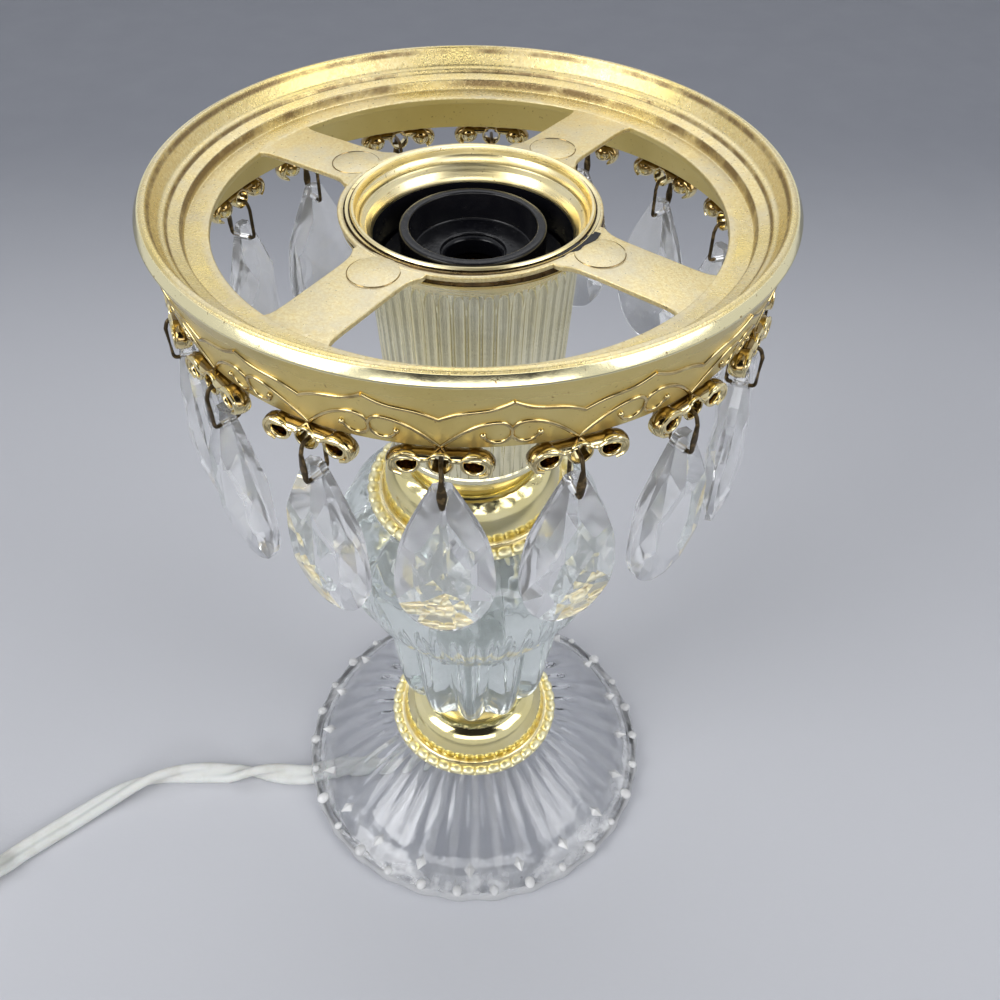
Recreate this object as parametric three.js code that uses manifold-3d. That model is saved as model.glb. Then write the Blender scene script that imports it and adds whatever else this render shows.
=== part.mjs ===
// A boudoir table lamp: a pressed-glass foot and column, two beaded brass caps, a fluted cup round the
// socket, and a plated shade ring hung with faceted crystal drops, with its cord, switch and plug.
// Millimetres, +Z up, with the lamp's axis on Z and the table at Z = 0.
import * as THREE from "three";
import { ConvexGeometry } from "three/addons/geometries/ConvexGeometry.js";
import { mergeVertices } from "three/addons/utils/BufferGeometryUtils.js";
import Module from "manifold-3d";

const wasm = await Module();
wasm.setup();

// Clearances
const SEAT = 0.3; // between two pieces that rest on each other
const FIT = 0.35; // round a shaft, wire or cord in its hole

// Glass foot
const FOOT_RADIUS = 61.5;
const FOOT_HEIGHT = 27.2;
const FOOT_RIM_HEIGHT = 6.4;
const FOOT_WALL = 5.2;
const FOOT_RIM_WIDTH = 4.2;
const FOOT_FLUTES = 30;
const FOOT_FLUTE_DEPTH = 0.8;
const FOOT_SCALLOP = 0.9;
const FOOT_PLATE_RADIUS = 27.4;
const FOOT_BULGE = 2.2; // how far the dome stands proud of a plain cone
const FOOT_SHOULDER = 3.2; // width of the sloping top of the rim
const NOTCH_ANGLE = -167.9; // degrees, where the cord passes under the rim
const NOTCH_ROOM = 1.0; // over and beside the cord in its notch

// Beaded caps
const CAP_BEAD = 1.6; // radius of a bead
const CAP_BEAD_NOTCH = 0.9; // how far the notches between beads run in
const CAP_SHEET = 1.0;
const CAP_GROOVE = 1.0; // width of the step between the beads and the dome
const CAP_STEP = 1.2;
const CAP_SIDES = 28;
const LOWER_CAP = { radius: 28.9, height: 19.7, neck: 17.2, beads: 40 };
const UPPER_CAP = { radius: 29.5, height: 19.9, neck: 18.2, beads: 44 };

// Glass column
const COLUMN_LOBES = 12;
const COLUMN_LOBE_ANGLE = -93; // degrees, of one lobe's middle
const STEM_FOOT_RADIUS = 17.5;
const STEM_RADIUS = 27.2;
const STEM_HEIGHT = 45;
const STEM_LOBE_DEPTH = 1.9;
const BULB_RADIUS = 40.5;
const BULB_LOBE_DEPTH = 1.2;
const BULB_HEIGHT = 44.5;
const COLUMN_TOP_RADIUS = 27.6;

// Threaded tube that ties the stack together, with its nuts
const TUBE_RADIUS = 5.1;
const TUBE_BORE = 4.0;
const TUBE_BELOW_FOOT = 8.0;
const TUBE_IN_CUP = 13;
const TUBE_SIDES = 16;
const NUT_ACROSS_FLATS = 16;
const NUT_HEIGHT = 4.2;
const WASHER_RADIUS = 13;
const WASHER_THICKNESS = 1.2;
const BUSHING_LIP = 1.6;
const BUSHING_WALL = 1.1;
const BUSHING_DEPTH = 1.5;

// Fluted cup round the socket
const CUP_HEIGHT = 67.3;
const CUP_FOOT_RADIUS = 21.2;
const CUP_TOP_RADIUS = 24.2;
const CUP_WALL = 1.5;
const CUP_FLUTES = 48;
const CUP_FLUTE_DEPTH = 0.7;
const CUP_LIP_HEIGHT = 2.2;
const CUP_LIP_WIDTH = 0.4; // how far the lips above and below the flutes stand out
const CUP_COVE_HEIGHT = 4.2;
const CUP_FLANGE_RADIUS = 28.7;
const CUP_FLANGE_THICKNESS = 0.9;
const CUP_RIM_HEIGHT = 3.6; // from the flange to the top of the rolled rim
const CUP_RIM_RADIUS = 26.7;
const CUP_RIM_WIDTH = 1.1;
const CUP_DISH_RADIUS = 22.8; // where the dish under the rim meets the straight wall
const CUP_DISH_DEPTH = 6.6;
const CUP_SIDES = 32;

// Shade ring
const RING_RADIUS = 70;
const RING_TAPER = 3.5; // how far the foot of the skirt lies inside the lip
const RING_WALL = 1.6;
const RING_DEPTH = 21.0; // from the ring's top to the foot of the skirt
const RING_LIP = 1.6; // radius of the rounded lip
const RING_LEDGE_DEPTH = 9.0;
const RING_LEDGE_THICKNESS = 3.0;
const RING_BORDER = 7.6; // from the lip's outside in to the ledge that the shade's fitter stands on
const RING_LEDGE_WIDTH = 5.1;
const RING_STEP = 2.4; // height of the step round the ledge
const RING_SHELF_DEPTH = 4.6;
const RING_SIDES = 44;
const HUB_SIDES = 32;
const HUB_WALL = 2.9;
const HUB_THICKNESS = 2.6;
const HUB_BELOW_TOP = 8.0;
const SPOKES = 4;
const SPOKE_ANGLE = -126.4; // degrees, of the first spoke
const SPOKE_WIDTH = 15;
const SPOKE_THICKNESS = 2.3;
const SPOKE_ROOT = 1.4; // how far a spoke runs into the hub and the ledge

// Loops under the skirt, in groups of three
const MOTIFS = 16;
const MOTIF_ANGLE = -95.1; // degrees, of the first group
const LOOP_RADIUS = 2.4; // to the middle of the loop's wire
const LOOP_WALL = 0.45; // half the loop's thickness
const LOOP_DEPTH = 1.7; // half the loop's length along the lamp's radius
const LOOP_SPACING = 6.3;
const LOOP_SIDES = 6;
const LOOP_DROP = 4.1; // from the foot of the skirt to a loop's middle
const LOOP_OUTSET = 0.1; // how far a loop's middle stands out from the foot of the skirt
const ARM_THICKNESS = 2.6;

// Wire clips and crystal drops
const WIRE_RADIUS = 0.45;
const WIRE_SIDES = 5;
const CLIP_HALF_WIDTH = 3.2;
const CLIP_LENGTH = 7.3;
const CLIP_PIN_GAP = 0.4; // half the gap between the two pin ends
const DROP_LENGTH = 44.5;
const DROP_WIDTH = 20.6;
const DROP_TIP_WIDTH = 3.4;
const DROP_THICKNESS = 9.2;
const DROP_TIP_THICKNESS = 4.6;
const DROP_TIP = 2.5; // from the hole up to the drop's top
const DROP_GIRDLE = 0.7; // half the thickness of the rim between the two faceted faces
const DROP_FULL_SHARE = 0.6; // share of the drop's length, down from its tip, where it is fully thick
const DROP_WIDEST_SHARE = 0.7; // share of its length where it is widest
const DROP_FACE_SHARE = 0.4; // width of its middle facets, as a share of its own width
const DROP_TURN = 7; // degrees, the most that a drop and its clip are turned
const DROP_TURN_START = 0.9; // where the first drop lies on the wave of those turns

// Candelabra lamp socket
const SOCKET_COLLAR_RADIUS = 16.8;
const SOCKET_COLLAR_WALL = 2.7;
const SOCKET_LEDGE_DEPTH = 6.7;
const SOCKET_MOUTH_RADIUS = 7.5;
const SOCKET_THROAT_RADIUS = 6.3;
const SOCKET_THROAT_DEPTH = 5;
const SOCKET_BARREL_RADIUS = 11;
const SOCKET_FLANGE_THICKNESS = 2.2;
const SOCKET_LENGTH = 38; // from the ledge down to the socket's back
const SOCKET_SIDES = 24;
const SHELL_SIDES = 14;
const SHELL_LENGTH = 20;
const SHELL_SHEET = 0.5;
const SHELL_THREADS = 4;
const SHELL_THREAD_DEPTH = 0.4;
const SHELL_LIP = 2.4;
const CONTACT_RADIUS = 3;
const CONTACT_HEAD = 3;
const BRACKET_RADIUS = 8.2;
const BRACKET_HEIGHT = 10.5;
const BRACKET_PLATE = 1.6;

// Flat two-core cord, switch and plug
const CORD_WIDTH = 7.35;
const CORD_THICKNESS = 3.6;
const CORD_STEP = 2.2; // length of a step of the cord, in widths
const CORD_LEAST_STEPS = 6;
const LEAD_BEND_RADIUS = 10.2;
const COIL_PITCH = 7.8; // from turn to turn, and from layer to layer
const COIL_INNER_RADIUS = 28;
const COIL_TURNS = 6; // whole turns, besides the part turn from the entry to the exit
const COIL_EXIT_ANGLE = 180; // degrees, where the cord leaves the coil
const COIL_STEPS = 24;
const COIL_SIDES = 6;
const CORD_LIFT = 0.1; // keeps the cord's underside just off the table
const AFTER_SWITCH = 16; // the cord from the switch to the coil
const TAIL_LENGTH = 42; // the cord from the coil to the plug
const TAIL_RADIUS = 120; // of the bend in that cord
const SWITCH_LENGTH = 46;
const SWITCH_WIDTH = 22;
const SWITCH_NECK = 12;
const SWITCH_HEIGHT = 13;
const SWITCH_WALL = 1.5;
const WHEEL_RADIUS = 9;
const WHEEL_WIDTH = 4.4;
const WHEEL_REACH = 2.5; // how far the wheel stands out of the switch's side
const AXLE_RADIUS = 1.6;
const PLUG_LENGTH = 28;
const PLUG_WIDTH = 22;
const PLUG_NECK = 9;
const PLUG_HEIGHT = 13;
const BLADE_LENGTH = 16;
const BLADE_WIDTH = 6.3;
const BLADE_THICKNESS = 1.5;
const BLADE_SPACING = 12.7;
const EDGE = 1.5; // chamfer round the switch and the plug

// Heights of the stack, from the table up
const LOWER_CAP_BOTTOM = FOOT_HEIGHT + SEAT;
const COLUMN_BOTTOM = LOWER_CAP_BOTTOM + LOWER_CAP.height + SEAT;
const COLUMN_HEIGHT = STEM_HEIGHT + BULB_HEIGHT;
const UPPER_CAP_BOTTOM = COLUMN_BOTTOM + COLUMN_HEIGHT + SEAT;
const CUP_BOTTOM = UPPER_CAP_BOTTOM + UPPER_CAP.height + SEAT;
const CUP_TOP = CUP_BOTTOM + CUP_HEIGHT;
const HUB_BOTTOM = CUP_TOP - CUP_RIM_HEIGHT + SEAT;
const RING_TOP = HUB_BOTTOM + HUB_THICKNESS + HUB_BELOW_TOP;
const SKIRT_BOTTOM = RING_TOP - RING_DEPTH;
const LOOP_HEIGHT = SKIRT_BOTTOM - LOOP_DROP;
const CLIP_BAR_HEIGHT = LOOP_HEIGHT - LOOP_RADIUS + LOOP_WALL + FIT + WIRE_RADIUS;
const TUBE_TOP = CUP_BOTTOM + TUBE_IN_CUP;
const TUBE_BOTTOM = FOOT_HEIGHT - FOOT_WALL - TUBE_BELOW_FOOT;
const LOCKNUT_BOTTOM = CUP_BOTTOM + CUP_WALL + SEAT;
const BRACKET_BOTTOM = LOCKNUT_BOTTOM + NUT_HEIGHT + SEAT;
const SOCKET_BOTTOM = BRACKET_BOTTOM + BRACKET_HEIGHT + SEAT;
const SOCKET_LEDGE = SOCKET_BOTTOM + SOCKET_LENGTH;
const SOCKET_TOP = SOCKET_LEDGE + SOCKET_LEDGE_DEPTH;
const SHELL_TOP = SOCKET_LEDGE - SOCKET_THROAT_DEPTH;
const SHELL_BOTTOM = SHELL_TOP - SHELL_LENGTH;

// Sizes that follow from those above
const TUBE_HOLE = TUBE_RADIUS + FIT;
const DROP_HOLE = WIRE_RADIUS + FIT;
const RING_SKIRT_RADIUS = RING_RADIUS - RING_TAPER;
const RING_GROOVE_RADIUS = RING_RADIUS - RING_BORDER;
const RING_OPENING_RADIUS = RING_GROOVE_RADIUS - RING_LEDGE_WIDTH;
const LOOP_PLACE_RADIUS = RING_SKIRT_RADIUS + LOOP_OUTSET;
const HUB_HOLE = CUP_RIM_RADIUS + SEAT;
const HUB_RADIUS = HUB_HOLE + HUB_WALL;
const SHELL_RADIUS = SOCKET_THROAT_RADIUS + SHELL_SHEET + SHELL_THREAD_DEPTH;
const CONTACT_BORE = CONTACT_RADIUS + FIT;
const CORD_HEIGHT = CORD_THICKNESS / 2 + CORD_LIFT;

// The cord's way on the table, from under the foot to the switch, as points chosen by hand: [x, y, height].
const CORD_POINTS = [
  [-49.5, -10.6, 1.9],
  [-60.1, -12.8, 1.9],
  [-72.7, -12.8, 1.9],
  [-89.5, -11.8, 1.9],
  [-105.9, -12.6, 1.9],
  [-117.9, -14.9, 1.9],
  [-128.9, -20.2, 1.9],
  [-142.5, -30.3, 1.9],
  [-155.4, -40.4, 1.9],
  [-161.3, -45.7, 2.1],
  [-167.0, -49.9, 3.8],
  [-173.0, -53.2, 5.9],
];
const CORD_HEADING = Math.atan2(-3.0, -6.2); // from the last of those points through the switch to the coil
const CORD_STRAIGHT = 5; // level stretch of the cord at each end of the switch

const TURN = 2 * Math.PI;
const degrees = (angle) => THREE.MathUtils.degToRad(angle);
const parts = new THREE.Group();

const MATERIALS = {
  platedRing: new THREE.MeshStandardMaterial({ color: 0xc9a955, roughness: 0.25, metalness: 1 }),
  platedCup: new THREE.MeshStandardMaterial({ color: 0xc8bf92, roughness: 0.3, metalness: 1 }),
  brass: new THREE.MeshStandardMaterial({ color: 0xd8be62, roughness: 0.12, metalness: 1 }),
  clearGlass: new THREE.MeshStandardMaterial({ color: 0xe6ebed, roughness: 0.05, metalness: 0 }),
  greenGlass: new THREE.MeshStandardMaterial({ color: 0xd3dfda, roughness: 0.06, metalness: 0 }),
  wire: new THREE.MeshStandardMaterial({ color: 0x4a3a22, roughness: 0.5, metalness: 0.8 }),
  phenolic: new THREE.MeshStandardMaterial({ color: 0x15161a, roughness: 0.3, metalness: 0 }),
  steel: new THREE.MeshStandardMaterial({ color: 0xa9abad, roughness: 0.35, metalness: 1 }),
  vinyl: new THREE.MeshStandardMaterial({ color: 0xe7e6e0, roughness: 0.45, metalness: 0 }),
  whitePlastic: new THREE.MeshStandardMaterial({ color: 0xe9e7e0, roughness: 0.4, metalness: 0 }),
};

function place(name, geometry, material, group = parts) {
  const mesh = new THREE.Mesh(geometry, material);
  mesh.name = name;
  group.add(mesh);
  return mesh;
}

// A closed geometry as a solid that can be joined and cut.
function solidOf(geometry) {
  const bare = new THREE.BufferGeometry().setAttribute(
    "position",
    (geometry.index ? geometry.toNonIndexed() : geometry).getAttribute("position"),
  );
  const merged = mergeVertices(bare, 1e-4);
  return new wasm.Manifold(
    new wasm.Mesh({
      numProp: 3,
      vertProperties: merged.attributes.position.array,
      triVerts: new Uint32Array(merged.index.array),
    }),
  );
}

function geometryOf(solid) {
  const { vertProperties, triVerts } = solid.getMesh();
  return indexed(vertProperties, triVerts);
}

function indexed(positions, faces) {
  const geometry = new THREE.BufferGeometry();
  geometry.setAttribute("position", new THREE.BufferAttribute(new Float32Array(positions), 3));
  geometry.setIndex(new THREE.BufferAttribute(new Uint32Array(faces), 1));
  geometry.computeVertexNormals();
  return geometry;
}

function joined(geometries) {
  return geometryOf(geometries.map(solidOf).reduce((all, one) => all.add(one)));
}

function cut(geometry, ...tools) {
  return geometryOf(tools.map(solidOf).reduce((all, tool) => all.subtract(tool), solidOf(geometry)));
}

// A ring turned about Z from a closed outline of [radius, height], or a solid if that ends on the axis.
function turned(outline, sides) {
  const points = outline.map(([radius, height]) => new THREE.Vector2(radius, height));
  if (outline[0][0] > 0) points.push(points[0].clone());
  return new THREE.LatheGeometry(points, sides).rotateX(Math.PI / 2);
}

// A ring about Z from a closed outline whose rows are [radius, height, sides, swelling], where swell(angle)
// says how much of a row's swelling is added to its radius. Rows may have different numbers of sides.
function lobed(outline, swell) {
  const positions = [];
  const rows = outline.map(([radius, height, sides, swelling = 0]) => {
    const first = positions.length / 3;
    for (let step = 0; step < sides; step++) {
      const angle = (step / sides) * TURN;
      const reach = radius + swelling * swell(angle);
      positions.push(reach * Math.cos(angle), reach * Math.sin(angle), height);
    }
    return { sides, corner: (step) => first + (step % sides) };
  });
  const faces = rows.flatMap((row, i) => stripBetween(row, rows[(i + 1) % rows.length]));
  return indexed(positions, faces);
}

// Triangles between two rows of corners, stepping along whichever row is behind.
function stripBetween(lower, upper) {
  const faces = [];
  let [i, j] = [0, 0];
  while (i < lower.sides || j < upper.sides) {
    if ((i + 1) / lower.sides <= (j + 1) / upper.sides) {
      faces.push(lower.corner(i), lower.corner(i + 1), upper.corner(j));
      i++;
    } else {
      faces.push(lower.corner(i), upper.corner(j + 1), upper.corner(j));
      j++;
    }
  }
  return faces;
}

// A wave round the axis from 0 to 1 and back, the given number of times.
const waves = (count, start = 0) => (angle) => (1 + Math.cos(count * (angle - start))) / 2;

// A bar bent in the XZ plane with mitred corners: its section holds [offset in that plane, offset along Y].
function bentBar(points, section) {
  const rings = points.map((point, i) => {
    const before = points[Math.max(i - 1, 0)];
    const after = points[Math.min(i + 1, points.length - 1)];
    const last = i === points.length - 1;
    const incoming = (i ? point.clone().sub(before) : after.clone().sub(point)).normalize();
    const outgoing = (last ? point.clone().sub(before) : after.clone().sub(point)).normalize();
    const along = incoming.clone().add(outgoing).normalize();
    const mitre = 1 / along.dot(outgoing);
    return section.map(([offset, across]) => {
      const reach = offset * mitre;
      return new THREE.Vector3(point.x + along.y * reach, across, point.y - along.x * reach);
    });
  });
  return skinned(rings);
}

// A closed skin over rings of points, with a flat cap at each end.
function skinned(rings) {
  const sides = rings[0].length;
  const faces = [];
  for (let ring = 0; ring < rings.length - 1; ring++) {
    for (let side = 0; side < sides; side++) {
      const next = (side + 1) % sides;
      const [a, b] = [ring * sides + side, ring * sides + next];
      faces.push(a, b, b + sides, a, b + sides, a + sides);
    }
  }
  const last = (rings.length - 1) * sides;
  for (let side = 1; side < sides - 1; side++) {
    faces.push(0, side + 1, side, last, last + side, last + side + 1);
  }
  return indexed(rings.flat().flatMap((point) => point.toArray()), faces);
}

// Points round a regular section, its first corner half a side on from the first axis.
function roundSection(radius, sides) {
  return Array.from({ length: sides }, (_, side) => {
    const angle = ((side + 0.5) / sides) * TURN;
    return [radius * Math.cos(angle), radius * Math.sin(angle)];
  });
}

// Points along a quarter of an ellipse between two [radius, height] points, bulging towards a corner.
function quarter(from, to, corner, steps) {
  return Array.from({ length: steps + 1 }, (_, step) => {
    const angle = (step / steps) * (Math.PI / 2);
    const [fromShare, toShare] = [1 - Math.sin(angle), 1 - Math.cos(angle)];
    const cornerShare = 1 - fromShare - toShare;
    return [0, 1].map((axis) => from[axis] * fromShare + to[axis] * toShare + corner[axis] * cornerShare);
  });
}

// Pressed-glass foot: a shallow fluted dome on a scalloped rim, open below, with a notch for the cord.
function glassFoot() {
  const outer = FOOT_RADIUS - FOOT_SCALLOP;
  const inner = outer - FOOT_RIM_WIDTH;
  const shoulder = outer - FOOT_SHOULDER;
  const under = FOOT_HEIGHT - FOOT_WALL;
  const fine = 2 * FOOT_FLUTES;
  const slope = (share) => [
    THREE.MathUtils.lerp(shoulder, FOOT_PLATE_RADIUS, share),
    THREE.MathUtils.lerp(FOOT_RIM_HEIGHT, FOOT_HEIGHT, share) + FOOT_BULGE * Math.sin(Math.PI * share),
  ];
  const outline = [
    [TUBE_HOLE, under, TUBE_SIDES],
    [FOOT_PLATE_RADIUS - FOOT_WALL, under, FOOT_FLUTES],
    [slope(0.5)[0] - FOOT_WALL / 2, slope(0.5)[1] - FOOT_WALL, fine, -FOOT_FLUTE_DEPTH],
    [inner - FOOT_SHOULDER, FOOT_RIM_HEIGHT - 1, fine, -FOOT_FLUTE_DEPTH],
    [inner, 0, fine],
    [outer - 1, 0, fine],
    [outer, 1.3, fine, FOOT_SCALLOP],
    [outer - 0.4, FOOT_RIM_HEIGHT - 2, fine, FOOT_SCALLOP],
    [shoulder, FOOT_RIM_HEIGHT, FOOT_FLUTES],
    [...slope(0.3), FOOT_FLUTES],
    [...slope(0.6), FOOT_FLUTES],
    [...slope(0.85), FOOT_FLUTES],
    [...slope(1), FOOT_FLUTES],
    [TUBE_HOLE, FOOT_HEIGHT, TUBE_SIDES],
  ];
  const body = lobed(outline, waves(FOOT_FLUTES));
  const notchLength = 3 * FOOT_RIM_WIDTH;
  const notchHeight = CORD_THICKNESS + NOTCH_ROOM;
  const notch = new THREE.BoxGeometry(notchLength, CORD_WIDTH + 2 * NOTCH_ROOM, 2 * notchHeight)
    .translate(inner + FOOT_RIM_WIDTH / 2, 0, 0)
    .rotateZ(degrees(NOTCH_ANGLE));
  return cut(body, notch);
}

// Spun brass cap: a polished dome over a step and a ring of beads, hollow below.
function beadedCap({ radius, height, neck, beads }) {
  const beadCircle = radius - CAP_BEAD;
  const domeRadius = beadCircle - CAP_BEAD - CAP_GROOVE;
  const stepTop = CAP_SHEET + CAP_STEP;
  const dome = quarter([domeRadius, stepTop], [neck, height], [domeRadius, height], 4);
  const hollow = quarter(
    [neck - CAP_SHEET, height - CAP_SHEET],
    [domeRadius - CAP_SHEET, stepTop],
    [domeRadius - CAP_SHEET, height - CAP_SHEET],
    2,
  );
  const outline = [
    [domeRadius - CAP_SHEET, 0, CAP_SIDES],
    [beadCircle, 0, 2 * beads],
    [radius - CAP_BEAD_NOTCH, CAP_BEAD, 2 * beads, CAP_BEAD_NOTCH],
    [beadCircle, 2 * CAP_BEAD - CAP_BEAD_NOTCH, 2 * beads, CAP_BEAD_NOTCH / 2],
    [domeRadius + CAP_GROOVE / 2, CAP_SHEET, CAP_SIDES],
    ...dome.map((point) => [...point, CAP_SIDES]),
    [TUBE_HOLE, height, TUBE_SIDES],
    [TUBE_HOLE, height - CAP_SHEET, TUBE_SIDES],
    ...hollow.map((point) => [...point, CAP_SIDES]),
  ];
  return lobed(outline, waves(beads));
}

// Pressed-glass column: a lobed stem under a swollen, softly lobed bulb, with a bore for the tube.
function glassColumn() {
  const stem = STEM_RADIUS - STEM_LOBE_DEPTH;
  const bulb = BULB_RADIUS - BULB_LOBE_DEPTH;
  const top = STEM_HEIGHT + BULB_HEIGHT;
  const fine = 4 * COLUMN_LOBES;
  const plain = 2 * COLUMN_LOBES;
  const outline = [
    [TUBE_HOLE, 0, TUBE_SIDES],
    [STEM_FOOT_RADIUS - STEM_LOBE_DEPTH, 0, plain],
    [STEM_FOOT_RADIUS + 1.5, 1.2, fine, STEM_LOBE_DEPTH / 2],
    [stem - 3.2, 6, fine, STEM_LOBE_DEPTH],
    [stem - 0.8, 14, fine, STEM_LOBE_DEPTH],
    [stem + 1.4, STEM_HEIGHT - 3, fine, STEM_LOBE_DEPTH],
    [stem + 5, STEM_HEIGHT + 2, fine, BULB_LOBE_DEPTH],
    [bulb - 3.6, STEM_HEIGHT + 9.5, fine, BULB_LOBE_DEPTH],
    [bulb, STEM_HEIGHT + 22, fine, BULB_LOBE_DEPTH],
    [bulb - 1.6, top - 14, fine, BULB_LOBE_DEPTH],
    [bulb - 6.2, top - 6, fine, BULB_LOBE_DEPTH],
    [COLUMN_TOP_RADIUS + 2.2, top - 1.4, plain],
    [COLUMN_TOP_RADIUS, top, plain],
    [TUBE_HOLE, top, TUBE_SIDES],
  ];
  return lobed(outline, waves(COLUMN_LOBES, degrees(COLUMN_LOBE_ANGLE)));
}

// Radius of the cup's inner wall at a height above the cup's bottom.
function cupInside(height) {
  const share = (height - CUP_WALL) / (CUP_HEIGHT - CUP_DISH_DEPTH - CUP_WALL);
  const bottom = CUP_FOOT_RADIUS - CUP_FLUTE_DEPTH - CUP_WALL;
  return THREE.MathUtils.lerp(bottom, CUP_DISH_RADIUS, share);
}

// Fluted cup: a foot, a fluted wall, a coved flange that carries the shade ring, and a rim inside its hub.
function flutedCup() {
  const flangeTop = CUP_HEIGHT - CUP_RIM_HEIGHT;
  const flangeBottom = flangeTop - CUP_FLANGE_THICKNESS;
  const fluteTop = flangeBottom - CUP_COVE_HEIGHT;
  const fine = 2 * CUP_FLUTES;
  const outline = [
    [TUBE_HOLE, 0, TUBE_SIDES],
    [CUP_FOOT_RADIUS + CUP_LIP_WIDTH, 0, CUP_SIDES],
    [CUP_FOOT_RADIUS + CUP_LIP_WIDTH, CUP_LIP_HEIGHT, CUP_SIDES],
    [CUP_FOOT_RADIUS - CUP_FLUTE_DEPTH, CUP_LIP_HEIGHT, fine, CUP_FLUTE_DEPTH],
    [CUP_TOP_RADIUS - CUP_FLUTE_DEPTH, fluteTop, fine, CUP_FLUTE_DEPTH],
    [CUP_TOP_RADIUS + CUP_LIP_WIDTH, fluteTop, CUP_SIDES],
    [CUP_TOP_RADIUS + 2 * CUP_LIP_WIDTH, flangeBottom - CUP_COVE_HEIGHT / 3, CUP_SIDES],
    [CUP_FLANGE_RADIUS, flangeBottom, CUP_SIDES],
    [CUP_FLANGE_RADIUS, flangeTop, CUP_SIDES],
    [CUP_RIM_RADIUS, flangeTop, CUP_SIDES],
    [CUP_RIM_RADIUS, CUP_HEIGHT, CUP_SIDES],
    [CUP_RIM_RADIUS - CUP_RIM_WIDTH, CUP_HEIGHT, CUP_SIDES],
    [CUP_DISH_RADIUS, CUP_HEIGHT - CUP_DISH_DEPTH, CUP_SIDES],
    [cupInside(CUP_WALL), CUP_WALL, CUP_SIDES],
    [TUBE_HOLE, CUP_WALL, TUBE_SIDES],
  ];
  return lobed(outline, waves(CUP_FLUTES));
}

// One group of three loops under a short arm, on the lamp's +X side.
function loopGroup() {
  const section = [
    [LOOP_RADIUS - LOOP_WALL, 0],
    [LOOP_RADIUS + LOOP_WALL, -LOOP_DEPTH],
    [LOOP_RADIUS + LOOP_WALL, LOOP_DEPTH],
  ];
  const pieces = [-1, 0, 1].map((side) =>
    turned(section, LOOP_SIDES)
      .rotateY(Math.PI / 2)
      .translate(LOOP_PLACE_RADIUS, side * LOOP_SPACING, LOOP_HEIGHT),
  );
  const armBottom = LOOP_HEIGHT + LOOP_RADIUS - LOOP_WALL / 2;
  const armTop = SKIRT_BOTTOM + RING_WALL / 2;
  const armWidth = 2 * (LOOP_SPACING + LOOP_RADIUS / 2);
  const arm = new THREE.BoxGeometry(ARM_THICKNESS, armWidth, armTop - armBottom).translate(
    RING_SKIRT_RADIUS - ARM_THICKNESS / 2,
    0,
    (armTop + armBottom) / 2,
  );
  return joined([arm, ...pieces]);
}

// Shade ring: lip, shelf and ledge for the shade, a skirt with its loops, and a hub on four flat spokes.
function shadeRing() {
  const inner = RING_SKIRT_RADIUS - RING_WALL;
  const ledge = RING_TOP - RING_LEDGE_DEPTH;
  const outline = [
    [inner, SKIRT_BOTTOM],
    [RING_SKIRT_RADIUS, SKIRT_BOTTOM],
    [RING_RADIUS - 1.4, RING_TOP - 3 * RING_LIP],
    [RING_RADIUS, RING_TOP - 2 * RING_LIP],
    [RING_RADIUS, RING_TOP - RING_LIP],
    [RING_RADIUS - 0.8 * RING_LIP, RING_TOP],
    [RING_RADIUS - 1.5 * RING_LIP, RING_TOP],
    [RING_RADIUS - 1.8 * RING_LIP, RING_TOP - RING_SHELF_DEPTH],
    [RING_GROOVE_RADIUS, ledge + RING_STEP],
    [RING_GROOVE_RADIUS, ledge],
    [RING_OPENING_RADIUS, ledge],
    [RING_OPENING_RADIUS, ledge - RING_LEDGE_THICKNESS],
    [inner, ledge - RING_LEDGE_THICKNESS],
  ];
  const hubTop = HUB_BOTTOM + HUB_THICKNESS;
  const hub = [
    [HUB_HOLE, HUB_BOTTOM],
    [HUB_RADIUS, HUB_BOTTOM],
    [HUB_RADIUS, hubTop],
    [HUB_HOLE, hubTop],
  ];
  const pieces = [turned(outline, RING_SIDES), turned(hub, HUB_SIDES)];
  const spokeSide = new THREE.Shape([
    new THREE.Vector2(HUB_RADIUS - SPOKE_ROOT, hubTop - SPOKE_THICKNESS),
    new THREE.Vector2(RING_OPENING_RADIUS + SPOKE_ROOT, ledge - SPOKE_THICKNESS),
    new THREE.Vector2(RING_OPENING_RADIUS + SPOKE_ROOT, ledge),
    new THREE.Vector2(HUB_RADIUS - SPOKE_ROOT, hubTop),
  ]);
  for (let spoke = 0; spoke < SPOKES; spoke++) {
    pieces.push(
      new THREE.ExtrudeGeometry(spokeSide, { depth: SPOKE_WIDTH, bevelEnabled: false })
        .translate(0, 0, -SPOKE_WIDTH / 2)
        .rotateX(Math.PI / 2)
        .rotateZ(degrees(SPOKE_ANGLE) + (spoke / SPOKES) * TURN),
    );
  }
  const loops = loopGroup();
  for (let motif = 0; motif < MOTIFS; motif++) {
    pieces.push(loops.clone().rotateZ(degrees(MOTIF_ANGLE) + (motif / MOTIFS) * TURN));
  }
  return joined(pieces);
}

// Half the width of a drop at a share of its length down from its tip.
function dropHalfWidth(share) {
  const widest = DROP_WIDEST_SHARE;
  const half = DROP_WIDTH / 2;
  if (share > widest) return half * Math.sqrt(1 - ((share - widest) / (1 - widest)) ** 2);
  const tip = DROP_TIP_WIDTH / 2;
  return tip + (half - tip) * Math.sin((share / widest) * (Math.PI / 2)) ** 1.15;
}

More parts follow.
